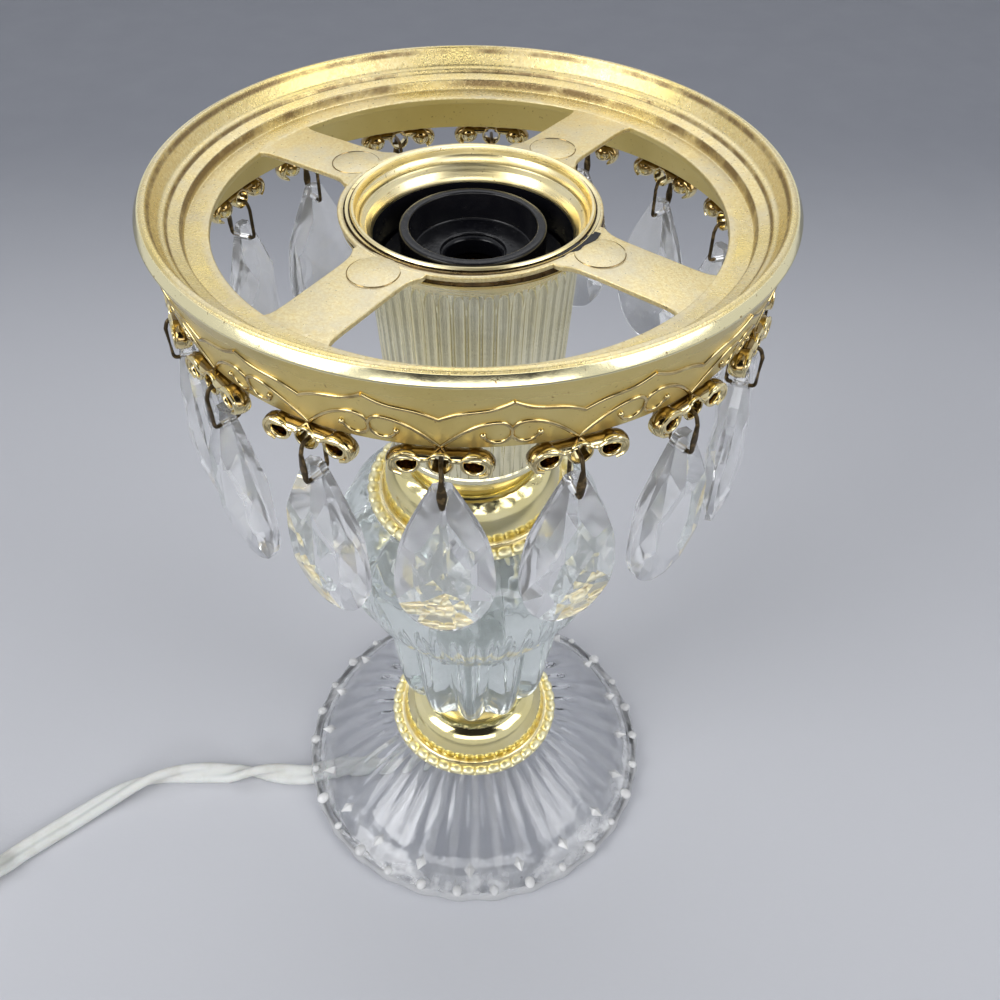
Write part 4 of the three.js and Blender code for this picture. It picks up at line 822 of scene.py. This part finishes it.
SKIRT_OUTLINE = [
    [SKIRT_RADIUS - 1.7, -SKIRT_DEPTH, 0.3], [SKIRT_RADIUS, -SKIRT_DEPTH, 0.5],
    [SKIRT_TOP_RADIUS, -SKIRT_TOP_DEPTH, 0.2], [LIP_RADIUS - 0.1, -SKIRT_TOP_DEPTH + 0.3, 0.25],
    [LIP_RADIUS, -2.5, 0.25], [LIP_RADIUS - 1.15, -0.65, 0.35], [LIP_RADIUS - 1.5, -0.75, 0.15],
    [LIP_RADIUS - 1.75, -0.35, 0.25], [LIP_RADIUS - 2.8, -0.2, 0.35], [LIP_RADIUS - 3.2, -1.2, 0.4],
    [66.6, -4.6, 0.5], [65.6, -4.9, 0.4], [65.2, -6.0, 0.5], [62.6, -6.6, 0.4], [62.2, -LEDGE_DEPTH, 0.3],
    [LEDGE_RADIUS, -LEDGE_DEPTH, 0.35], [LEDGE_RADIUS, -LEDGE_DEPTH - 1.6, 0.35], [64.0, -12.0, 1.0],
]
OPEN_LOOP = [[2.0, -1.8, 0.2], [2.5, -1.8, 0.3], [2.45, 0.9, 0.3], [2.7, 1.3, 0.3], [2.6, LOOP_FRONT, 0.4],
             [2.1, LOOP_FRONT, 0.3]]
DISHED_LOOP = [[0.01, -3.0], [1.5, -2.6, 0.8], [2.4, -1.2, 0.8], [2.45, 0.6, 0.3], [2.7, 1.2, 0.4],
               [2.6, LOOP_FRONT, 0.4], [2.0, LOOP_FRONT, 0.3], [1.75, 0.9, 0.3], [1.55, -0.9, 0.5], [0.01, -1.2]]
SCROLL = [[0.9, -21.6], [3.4, -22.1], [6.2, -22.0], [8.1, -22.3], [9.2, -23.5], [9.0, -25.0], [7.9, -26.0]]
RIBBON = [[0, -20.5], [1.1, -21.3], [2.3, -22.1], [3.6, -22.3], [5.1, -21.5], [7.6, -21.2], [9.1, -22.2],
          [9.5, -23.7], [9.0, -25.2], [7.4, -26.0]]


def on_skirt(line, stand=0.0):
    """Points on the skirt, or that far off it, from [degrees round the ring, depth] points."""
    line = np.array(line, float)
    share = (line[:, 1] - SKIRT_TOP_DEPTH) / (SKIRT_DEPTH - SKIRT_TOP_DEPTH)
    angle = np.radians(line[:, 0])
    radius = SKIRT_TOP_RADIUS + (SKIRT_RADIUS - SKIRT_TOP_RADIUS) * share + stand
    return np.column_stack([radius * np.cos(angle), radius * np.sin(angle), RING_TOP - line[:, 1]])


def raised_line(line):
    path = on_skirt(line)
    return sweep(path, circle(0.45, 10), path * np.array([1, 1, 0]))


def tracery():
    """Raised lines on the skirt for one group of loops, about angle 0."""
    half = 360 / MOTIFS / 2
    shapes = []
    for side in (-1, 1):
        t = np.linspace(0, 1, 17)
        shapes.append(raised_line(np.column_stack([side * half * t, 12.4 - 4.8 * (t + 0.1 * np.sin(TURN * t))])))
        start, first, second, end = (np.array(p) for p in ([0, 20.3], [2.5, 17.0], [5.6, 13.1], [9.0, 13.1]))
        curve = [(1 - u) ** 3 * start + 3 * (1 - u) ** 2 * u * first + 3 * (1 - u) * u**2 * second + u**3 * end
                 for u in np.linspace(0, 1, 14)]
        curl = [[9.0 + 2.3 * math.cos(a), 16.0 - 2.9 * math.sin(a)] for a in np.radians(np.linspace(80, -168, 20))]
        lower = np.array([*curve, *curl]) * np.array([side, 1])
        shapes += [raised_line(lower), shifted(ball(0.7), *on_skirt([lower[-1]], 0.1)[0])]
    return shapes


def loop_shapes():
    """Under the skirt on the +X side: an open loop between two dished ones, and the scrolls that carry them."""
    shapes = []
    for side, outline in ((-1, DISHED_LOOP), (0, OPEN_LOOP), (1, DISHED_LOOP)):
        loop = turned(revolve(rounded(outline, 3), 28), 90, "Y")
        shapes.append(shifted(loop, LOOP_PLACE_RADIUS, side * LOOP_SPACING, RING_TOP - LOOP_DEPTH))
    scroll, ribbon = smooth_line(SCROLL, 5), smooth_line(RIBBON, 5)
    slim = np.interp(np.linspace(0, 1, len(scroll)), [0, 0.15, 0.3, 0.55, 0.7, 1], [0.6, 1.15, 1.0, 1.25, 1.2, 0.5])
    out = np.interp(np.linspace(0, 1, len(ribbon)), [0, 0.2, 1], [0.4, 1.8, 1.7])
    tall_section = [[x, 1.85 * y] for x, y in circle(1.0, 16)]
    for side in (-1, 1):
        for line, stand, section, widths in ((scroll, 0.1, tall_section, slim), (ribbon, out, circle(0.42, 10), 1.0)):
            path = np.column_stack([0 * line[:, 0] + (LOOP_PLACE_RADIUS + stand), side * line[:, 0],
                                    RING_TOP + line[:, 1]])
            shapes.append(sweep(path, section, (1, 0, 0), widths=widths))
    return shapes


def spoke_shapes():
    """One spoke along +X, with small fillets where it meets the hub and the ledge, and a raised round mark."""
    x = np.linspace(HUB_RADIUS - 1.6, LEDGE_RADIUS + 0.8, 25)
    widths = (SPOKE_WIDTH + 3.5 * np.exp(-np.maximum(x - HUB_RADIUS, 0) / 1.6)
              + 3.0 * np.exp(-np.maximum(LEDGE_RADIUS - x, 0) / 1.2))
    slope = (RING_TOP - LEDGE_DEPTH - HUB_TOP) / (LEDGE_RADIUS - HUB_RADIUS)
    rings = []
    for place, half in zip(x, widths / 2):
        top = HUB_TOP - SPOKE_SINK + slope * (place - HUB_RADIUS)
        ring = rounded([[-half, -SPOKE_THICKNESS, 0.6], [half, -SPOKE_THICKNESS, 0.6], [half, 0, 0.35],
                        [-half, 0, 0.35]], 3)
        rings.append([[place, across, top + up] for across, up in ring])
    disc = revolve(rounded([[0.01, -0.3], [MARK_RADIUS, -0.3], [MARK_RADIUS - 0.05, 0.2, 0.15], [0.01, 0.2]], 2), 48)
    mark_height = HUB_TOP - SPOKE_SINK + slope * (MARK_PLACE_RADIUS - HUB_RADIUS)
    mark_at = Matrix.Translation((MARK_PLACE_RADIUS, 0, mark_height)) @ Matrix.Rotation(-math.atan(slope), 4, "Y")
    return [lofted(np.array(rings)), moved(disc, mark_at)]


def crack_shade_shape():
    """The open crack across the hub, filled with a black sliver as painted shade inside it."""
    share = np.linspace(0, 1, 15)
    angle = np.radians(CRACK_START + (CRACK_END - CRACK_START) * share)
    radius = HUB_HOLE - 0.4 + (HUB_RADIUS + 0.7 - HUB_HOLE) * share + 0.12 * np.sin(share * 23)
    path = np.column_stack([radius * np.cos(angle), radius * np.sin(angle), 0 * share + (HUB_TOP - 0.45)])
    width = 0.95 + 0.3 * np.sin(share * 17 + 1)
    return sweep(path, [[-1, -1.5], [1, -1.5], [1, 0.62], [-1, 0.62]], (0, 0, 1), widths=width)


def mark_shadow_ring(spoke):
    """The fine brown ring round a spoke's mark, painted shadow at the mark's edge."""
    turn = math.radians(SPOKE_ANGLE + spoke * 360 / SPOKES)
    x, y, radius = MARK_PLACE_RADIUS * math.cos(turn), MARK_PLACE_RADIUS * math.sin(turn), MARK_RADIUS + 0.05
    shadow_ring = [[x + radius * math.cos(a), y + radius * math.sin(a), HUB_TOP - MARK_SHADOW_DEPTH]
            for a in np.linspace(0.2, TURN, 60)]
    return sweep(shadow_ring, circle(0.1, 6), (0, 0, 1))


def is_shaded(x, y, z, radius, normal):
    """Whether a place on the loops gets painted shade: the dished loops' bottoms, and the scrolls' tops under the
    skirt.
    """
    step = TURN / MOTIFS
    turn = math.atan2(y, x) - math.radians(MOTIF_ANGLE)
    turn -= step * round(turn / step)
    out, across = radius * math.cos(turn), radius * math.sin(turn)
    from_dish = math.hypot(abs(across) - LOOP_SPACING, z - RING_TOP + LOOP_DEPTH)
    in_dish = from_dish < 1.95 and LOOP_PLACE_RADIUS - 1.6 < out < LOOP_PLACE_RADIUS + 1.4
    return in_dish or (normal[2] > 0.15 and out < LOOP_PLACE_RADIUS + 1.3 and z > RING_TOP - 23)


def add_shade_ring():
    skirt = revolve(rounded([[r, RING_TOP + z, fillet] for r, z, fillet in SKIRT_OUTLINE], 4), 288)
    ring = piece("ring_moulding", [skirt], GOLD_GLOSS, "shade_ring", extra=(GOLD_SATIN,))
    paint(ring, lambda x, y, z, radius, normal: (radius < LIP_RADIUS - 1.4 and RING_TOP - z < LEDGE_DEPTH + 0.3
                                                 and normal[2] > -0.3))
    hub = rounded([[HUB_HOLE, HUB_BOTTOM, 0.3], [HUB_RADIUS - 0.2, HUB_BOTTOM, 0.5], [HUB_RADIUS, HUB_TOP, 0.5],
                   [HUB_HOLE + 0.9, HUB_TOP + 0.15, 0.4], [HUB_HOLE, HUB_TOP - 0.3, 0.3]], 3)
    spokes = around(spoke_shapes(), SPOKES, SPOKE_ANGLE)
    hub = piece("ring_hub_and_spokes", [revolve(hub, 192), *spokes], GOLD_SATIN, "shade_ring",
                extra=(DARK_BRASS,))
    # Painted shade: the hub's hole wall is dark brass, for the dark gap round the cup's rim
    paint(hub, lambda x, y, z, radius, normal: radius < HUB_HOLE + 0.25 and normal[0] * x + normal[1] * y < 0)
    # Painted shade: a black sliver inside the hub's crack
    piece("hub_crack_shade", [crack_shade_shape()], PHENOLIC)
    # Painted shadow: a fine dark ring round each spoke's mark
    piece("spoke_mark_shadow_rings", [mark_shadow_ring(spoke) for spoke in range(SPOKES)], GOLD_SHADE)
    loops, lines = (around(shapes, MOTIFS, MOTIF_ANGLE) for shapes in (loop_shapes(), tracery()))
    # Painted shade on the dished loops' bottoms and the scrolls' tops
    paint(piece("ring_loops", loops, GOLD_RELIEF, "shade_ring", extra=(GOLD_SHADE,)), is_shaded)
    piece("ring_tracery", lines, GOLD_LINE_SHADED, "shade_ring", sharp=80)


# Clips and crystal drops


def drop_half_width(share):
    widest, tip = 0.64, 1.9
    if share > widest:
        return DROP_HALF_WIDTH * math.sqrt(max(0.0, 1 - ((share - widest) / (1 - widest)) ** 2))
    return tip + (DROP_HALF_WIDTH - tip) * math.sin(share / widest * math.pi / 2)


def drop_mesh():
    """A pear drop that hangs from its hole at the origin, its faceted faces towards +X and -X.

    It starts as a slab with the drop's outline, and each facet is one plane cut off it, as in cutting glass.
    """
    shares = (1 - np.cos(np.linspace(0, math.pi, 61))) / 2
    right = [[drop_half_width(s), DROP_TIP - s * DROP_LENGTH] for s in shares]
    outline = np.array(right + [[-y, z] for y, z in reversed(right[1:-1])])
    heart = np.array([0, DROP_TIP - 0.6 * DROP_LENGTH])
    slab, faces = prism(outline, -DROP_HALF_DEPTH - 1, DROP_HALF_DEPTH + 1)
    edit = bmesh.new()
    corners = [edit.verts.new((x, y, z)) for y, z, x in slab]
    for face in faces:
        edit.faces.new([corners[i] for i in face])
    cuts = [(side, ring, lean, math.pi / 2 + (i + 0.5 * ring) * TURN / count)
            for side in (-1, 1) for ring, count, lean in ((0, 12, 1.4), (1, 10, 0.6)) for i in range(count)]
    for side, ring, lean, angle in cuts:
        along = np.array([math.cos(angle), math.sin(angle)])
        reach = float(((outline - heart) @ along).max())
        girdle = 0.7 + 1.1 * max(0.0, math.sin(angle)) ** 3
        slope = lean * (DROP_HALF_DEPTH - girdle) / reach
        peak = girdle + slope * reach if ring == 0 else DROP_HALF_DEPTH
        cut = bmesh.ops.bisect_plane(
            edit, geom=edit.verts[:] + edit.edges[:] + edit.faces[:], dist=1e-4, clear_outer=True,
            plane_co=(side * peak, *heart), plane_no=(side, slope * along[0], slope * along[1]))
        rim = [e for e in cut["geom_cut"] if isinstance(e, bmesh.types.BMEdge)]
        if rim:
            bmesh.ops.contextual_create(edit, geom=rim)
    bmesh.ops.scale(edit, vec=(MM, MM, MM), verts=edit.verts)
    mesh = bpy.data.meshes.new("drop")
    edit.to_mesh(mesh)
    edit.free()
    return cut_away(mesh, turned(prism(circle(0.8, 16), -8, 8), 90, "Y"))


def clip_shape():
    """A wire that passes through the loop, down both faces of the drop and into its hole, with a leaf outside."""
    reach, drop, rise = CLIP_HALF_WIDTH, CLIP_LENGTH, CLIP_RISE
    outline = rounded([[0.35, -drop], [reach, -drop, 1.1], [reach + 0.2, 0], [reach - 0.6, rise, 1.3],
                       [0.6 - reach, rise, 1.3], [-reach, 0], [-reach, -drop, 1.1], [-0.35, -drop]], 6, closed=False)
    line = []
    for a, b in zip(outline[:-1], outline[1:]):
        steps = max(1, round(np.linalg.norm(b - a) / 0.6))
        line += [a + (b - a) * k / steps for k in range(steps)]
    x, z = np.array([*line, outline[-1]]).T
    leaf = np.where(x > reach - 0.7, np.maximum(0, 1 - np.abs(z + 0.5 * drop) / (drop * 0.5)) ** 0.8, 0)
    path = np.column_stack([x, 0 * x, z])
    return sweep(path, circle(WIRE_RADIUS, 12), (0, 1, 0), widths=1 - 0.4 * leaf, heights=1 + 1.4 * leaf)


def add_pendants():
    drop, clip = drop_mesh(), clip_shape()
    for index in range(MOTIFS):
        number = f"{index + 1:02d}"
        angle = math.radians(MOTIF_ANGLE) + index / MOTIFS * TURN
        turned_by = math.radians(DROP_TURN) * math.sin(0.9 + 3 * index * TURN / 8)
        place = Matrix.Translation((LOOP_PLACE_RADIUS * math.cos(angle), LOOP_PLACE_RADIUS * math.sin(angle),
                                    CLIP_BAR_HEIGHT)) @ Matrix.Rotation(angle + turned_by, 4, "Z")
        body = "pendant_" + number
        piece("wire_clip_" + number, [moved(clip, place)], WIRE, "clip_" + number, body, sharp=60)
        mesh = drop.copy()
        hang = Matrix.Translation(place.translation * MM) @ place.to_3x3().to_4x4()
        mesh.transform(hang @ Matrix.Translation((0, 0, -CLIP_LENGTH * MM)))
        piece("drop_" + number, mesh, CRYSTAL, "crystal_" + number, body, sharp=3.6)


# Socket, cup, caps, column and foot


def add_socket():
    top, ledge, bottom = SOCKET_TOP, SOCKET_TOP - 6.7, SOCKET_BOTTOM
    outline = rounded([
        [3.4, bottom, 0.2], [11, bottom, 0.8], [11, ledge - 4.4, 0.3], [21.6, ledge - 4.4, 0.4],
        [21.6, ledge - 2.2, 0.4], [16.6, ledge - 2.2, 0.5], [16.8, top, 0.9], [14.5, top, 0.5], [13.8, ledge, 0.5],
        [7.5, ledge, 0.4], [7.4, ledge - 0.8, 0.2], [7.2, ledge - 0.7, 0.3], [6.5, ledge - 1.2, 0.4],
        [6.3, SHELL_TOP + 0.3, 0.2], [7.5, SHELL_TOP + 0.3], [7.5, SHELL_BOTTOM - 0.3], [3.4, SHELL_BOTTOM - 0.3],
    ], 4)
    piece("socket_moulding", [shifted(revolve(outline, 128), SOCKET_SHIFT)], PHENOLIC,
          "socket_body")
    crests = []
    for turn in range(SHELL_TURNS):
        height = SHELL_TOP - 1.0 - turn * 18.0 / SHELL_TURNS
        crests += [[6.35, height, 0.5], [6.85, height - 9.0 / SHELL_TURNS, 0.5]]
    wall = rounded([[5.0, SHELL_BOTTOM + 0.1], [7.2, SHELL_BOTTOM + 0.1, 0.4], [7.2, SHELL_TOP - 0.2],
                    [6.4, SHELL_TOP - 0.1], *crests, [6.5, SHELL_BOTTOM + 0.7], [5.0, SHELL_BOTTOM + 0.7]], 3)
    piece("threaded_shell", [shifted(revolve(wall, 64), SOCKET_SHIFT)], DARK_BRASS, "screw_shell")


def add_cup():
    flange = CUP_TOP - 2.9
    flute_top, arch_rise = flange - 5.6, 3.2
    flute_bottom = CUP_BOTTOM + 2.6
    heights = [*np.linspace(flute_bottom, flute_top - 5, 12), *np.linspace(flute_top - 4.4, flute_top, 9)]
    outline = [
        [5.6, CUP_BOTTOM], [21.4, CUP_BOTTOM], [21.6, CUP_BOTTOM + 0.5], [21.6, CUP_BOTTOM + 1.8],
        [21.3, CUP_BOTTOM + 2.3],
        *([21.4 + 3.3 * (h - flute_bottom) / (flute_top - flute_bottom), h] for h in heights),
        [24.75, flute_top + 0.25], [24.9, flute_top + 1.2], *arc((28.9, flange - 1.2), 3.7, 175, 100, 8),
        [29.2, flange - 0.85], [29.4, flange - 0.5], [29.3, flange - 0.05], [27.4, flange],
        [27.25, flange + 0.6], [27.2, CUP_TOP - 0.4], [26.9, CUP_TOP], [26.4, CUP_TOP - 0.05],
        [26.2, CUP_TOP - 0.6], [26.15, CUP_TOP - 1.4], *arc((22.6, CUP_TOP - 1.6), 3.4, -5, -62, 8),
        [23.9, CUP_TOP - 4.9], [23.7, CUP_TOP - 5.3], [23.2, CUP_TOP - 6.0], [22.9, CUP_TOP - 6.7],
        [22.7, CUP_TOP - 7.4], [19.2, CUP_BOTTOM + 1.8], [5.6, CUP_BOTTOM + 1.5],
    ]

    def fluted(angle, radius, height):
        """Concave flutes with arched tops between thin flat fillets."""
        across = (FLUTES * angle / TURN + 0.5) % 1 - 0.5
        open_width = fade(np.abs(across), 0.43)
        hollow = np.sqrt(1 - open_width**2)
        wall = (radius > 21.25) & (radius < 24.72) & (height > flute_bottom - 0.01) & (height < flute_top + 0.01)
        ends = fade(height - flute_bottom, 1.5) * fade(flute_top - height, 0.5)
        fall = fade(height - flute_top + 5, 5) * arch_rise * (1 - np.sqrt(1 - open_width**2 * 0.999))
        return radius - np.where(wall, FLUTE_DEPTH * hollow * ends, 0), height - np.where(wall, fall, 0)

    def choose(x, y, z, _, normal):
        """Dark brass on the flange and the rim's outer side as painted shade in the gap under the hub, satin gold on
        the rim and in the cove, black inside.
        """
        radius = math.hypot(x - SOCKET_SHIFT, y)
        # Painted shade in the gap under the hub
        if radius > 27.1 and flange - 0.1 < z < CUP_TOP - 0.6:
            return 3
        if z > flute_top - 0.3:
            return 2
        return radius < 22.8 and z > CUP_BOTTOM + 1 and normal[0] * x + normal[1] * y < 0

    cup = piece("fluted_cup_shell", [shifted(revolve(outline, FLUTES * 16, fluted), SOCKET_SHIFT)], CHAMPAGNE,
                "fluted_cup", extra=(PHENOLIC, DISH_GOLD, DARK_BRASS), sharp=25)
    paint(cup, choose)


def add_cap(name, bottom, radius, height, neck, rise, beads):
    """A spun cap: a squat polished dome on a neck, over a groove and a ring of embossed beads, hollow below."""
    bead = 1.6
    middle = radius - bead
    dome_foot = middle - bead - 1.5
    top, reach = bottom + height, dome_foot - neck
    dome = [[neck + reach * math.cos(a), bottom + 2.4 + rise * math.sin(a)] for a in np.linspace(0, math.pi / 2, 28)]
    inner = [[neck - 1 + reach * math.cos(a), bottom + 2.2 + (rise - 1) * math.sin(a)]
             for a in np.linspace(math.pi / 2, 0, 16)]
    hoop = [[middle + bead * math.cos(a), bottom + 1.0 + 1.5 * math.sin(a)] for a in np.linspace(-0.6, math.pi, 15)]
    outline = [[dome_foot - 1, bottom], [middle, bottom], *hoop, [dome_foot + 1.1, bottom + 1.1],
               [dome_foot + 0.6, bottom + 1.2], [dome_foot + 0.2, bottom + 1.6], *dome, [neck, top], [5.6, top],
               [5.6, top - 1], [neck - 1, top - 1], *inner]

    def embossed(angle, radius, height):
        """Pinches the hoop into round beads."""
        across = 2 * np.abs((beads * angle / TURN) % 1 - 0.5)
        swell = np.sqrt(np.clip(1 - across**2, 0, 1))
        on_hoop = (radius > middle - bead + 0.05) & (height > bottom + 0.2)
        squeeze = np.where(on_hoop, 0.40 + 0.60 * swell, 1)
        return middle + (radius - middle) * squeeze, bottom + 0.6 + (height - bottom - 0.6) * squeeze

    def choose(x, y, z, radius, normal):
        """Duller beads, and satin gold in the groove and on the neck."""
        if radius > dome_foot + 0.05:
            return 1 if radius > middle - bead else 2
        return 2 if z > bottom + 2.4 + rise else 0

    paint(piece(name + "_spun", [revolve(outline, beads * 12, embossed)], BRASS, name, sharp=50,
                extra=(BEAD_BRASS, DISH_GOLD)), choose)


def add_column():
    stem = [[14.8, 0.0], [18.6, 0.5], [21.6, 2.6], [23.5, 5.8], [24.8, 10.0], [25.9, 16.0], [26.8, 24.0], [27.6, 32.0],
            [28.2, 38.0], [28.8, 42.5], [29.9, 45.4], [31.8, 48.4], [34.2, 52.0], [36.6, 56.4], [38.8, 61.4],
            [40.1, 66.4], [40.5, 70.0], [40.1, 74.4], [38.8, 78.6], [36.4, 82.6], [33.2, 86.0], [30.2, 88.2],
            [28.2, 89.3], [27.4, 89.5]]
    outline = [[r, COLUMN_BOTTOM + z] for r, z in [[5.6, 0], [13.4, 0], *smooth_line(stem, 4), [5.6, 89.5]]]

    def lobed(angle, radius, height):
        """Rounded petals on the stem that end in arches, fine ribs under the bulb, and soft lobes on it."""
        z = height - COLUMN_BOTTOM
        turn = angle - LOBE_ANGLE
        petal = np.abs(np.cos(LOBES / 2 * turn))
        arch = PETAL_TOP + PETAL_ARCH * petal
        deep = PETAL_DEPTH * (1 - petal) * fade(z, 1.6) * fade(arch - z, 1.6)
        ledge = 0.5 * np.clip(1 - np.abs(z - arch) / 0.9, 0, 1)
        fine = 0.8 * (1 - np.abs(np.cos(BULB_RIBS / 2 * turn))) * fade(z - 46, 3) * fade(72 - z, 10)
        soft = 1.3 * (1 - petal) * fade(z - 52, 10) * fade(88 - z, 8)
        return radius - np.where(radius > 6, deep + fine + soft - ledge, 0), height

    piece("column_glass", [revolve(outline, 504, lobed)], GREEN_GLASS, "glass_column", sharp=50)


def add_foot():
    upper = smooth_line([[60.8, 2.6], [60.2, 4.2], [58.4, 5.6], [56.2, 6.8], [53.4, 8.9], [49.5, 12.6], [43.0, 18.0],
                         [36.0, 22.8], [31.0, 25.6], [28.0, 27.0], [26.6, FOOT_TOP]], 6)
    under = smooth_line([[14.0, 22.0], [22.2, 21.6], [31.0, 18.8], [39.8, 13.8], [47.0, 9.2], [53.2, 5.0],
                         [55.6, 2.2], [56.6, 0.5]], 6)
    outline = [[57.2, 0], [58.6, 0], [60.0, 0.7], [60.8, 1.7], *upper, [5.5, FOOT_TOP], [5.5, 22.0], *under]

    def ribbed(angle, radius, height):
        """A softly scalloped rim, and ribs that fade outward."""
        turn = angle + math.pi / 2
        across = 2 * ((FOOT_FLUTES * turn / TURN) % 1 - 0.5)
        wave = np.cos(math.pi / 2 * across) ** 2
        above = height > 3.0 + (60 - radius) * 0.45
        rim = fade(radius - 57.5, 2.5)
        groove = (1 - np.abs(np.cos(FOOT_RIBS / 2 * turn))) * fade(radius - 26, 3)
        on_top = 0.40 * groove * fade(52 - radius, 14)
        on_under = 1.1 * groove * fade(54 - radius, 12)
        lift = np.where(above, -on_top, np.where(height < 21.5, -on_under, 0))
        return radius + rim * (0.7 * wave - 0.5), np.maximum(height + lift, 0)

    piece("foot_glass", [revolve(outline, FOOT_RIBS * 16, ribbed)], FOOT_GLASS, "glass_base", sharp=50)
    knobs = []
    for knob in range(FOOT_FLUTES):
        lump = moved(ball(1.6 * (1 + 0.22 * math.sin(2.7 * knob)), 14), Matrix.Diagonal((1.2, 1.0, 0.9, 1)))
        knobs.append(turned(shifted(lump, *KNOB_PLACE), -90 + (knob + 0.5) * 360 / FOOT_FLUTES))
    star = moved(revolve([[0.01, -0.8], [1.9, 0], [0.01, 1.2]], 4), Matrix.Diagonal((1.6, 1.0, 1.0, 1)))
    stars = around([shifted(star, *STAR_PLACE)], FOOT_STARS, -92)
    piece("foot_knobs", knobs + stars, KNOB_GLASS, "glass_base", sharp=40)


def dress_hidden_nodes():
    """Materials for the nodes whose CAD shape is right."""
    for names, material in (
        ("threaded_pipe cup_locknut bottom_washer bottom_nut socket_bracket", STEEL),
        ("center_contact", CONTACT_BRASS),
        ("pipe_bushing", PHENOLIC),
    ):
        for name in names.split():
            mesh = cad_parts[name].data
            mesh.materials.clear()
            mesh.materials.append(material)


# Stage and lights, in metres


def add_stage():
    """A round seamless sweep: a flat floor that curves up into a low wall all round."""
    profile = [[r, 0] for r in (0.001, 0.15, 0.3, 0.5, 0.8, 1.2, 1.6)]
    profile += [[1.6 + 0.7 * math.sin(a), 0.7 - 0.7 * math.cos(a)] for a in np.linspace(0.1, math.pi / 2, 12)]
    profile += [[2.3, 1.3]]
    points = [[x, y, z] for r, z in profile for x, y in circle(r, 96)]
    mesh = bpy.data.meshes.new("seamless_sweep")
    mesh.from_pydata(points, [], strip_faces(len(profile), 96, False))
    mesh.shade_smooth()
    mesh.materials.append(PAPER)
    linked("seamless_sweep", mesh)


def add_lights():
    """Softboxes, each with its place, its width and height, and its power, turned to the lamp's middle."""
    for name, place, width, height, power in (
        ("left_softbox", (-1.05, -0.65, 0.95), 0.8, 0.8, 10.2),
        ("right_softbox", (1.05, -0.55, 0.95), 0.8, 0.8, 6.6),
        ("back_softbox", (0.0, 0.75, 1.35), 1.3, 1.0, 5.0),
        ("front_strip", (0.0, -1.45, 0.64), 1.7, 0.34, 5.6),
    ):
        data = bpy.data.lights.new(name, "AREA")
        data.shape, data.size, data.size_y, data.energy = "RECTANGLE", width, height, power
        light = linked(name, data)
        light.location = place
        light.rotation_mode = "QUATERNION"
        light.rotation_quaternion = (Vector((0, 0, 0.12)) - Vector(place)).to_track_quat("-Z", "Y")
    bpy.context.scene.world = studio_world()


add_camera()
add_cord()
add_inner_lead()
add_foot()
add_column()
add_cap("lower_cap", LOWER_CAP_BOTTOM, radius=28.9, height=19.7, neck=16.4, rise=11.6, beads=40)
add_cap("upper_cap", UPPER_CAP_BOTTOM, radius=29.5, height=19.9, neck=17.8, rise=12.6, beads=42)
add_cup()
add_socket()
add_shade_ring()
add_pendants()
dress_hidden_nodes()
add_stage()
add_lights()
bpy.context.scene.view_settings.view_transform = "Standard"
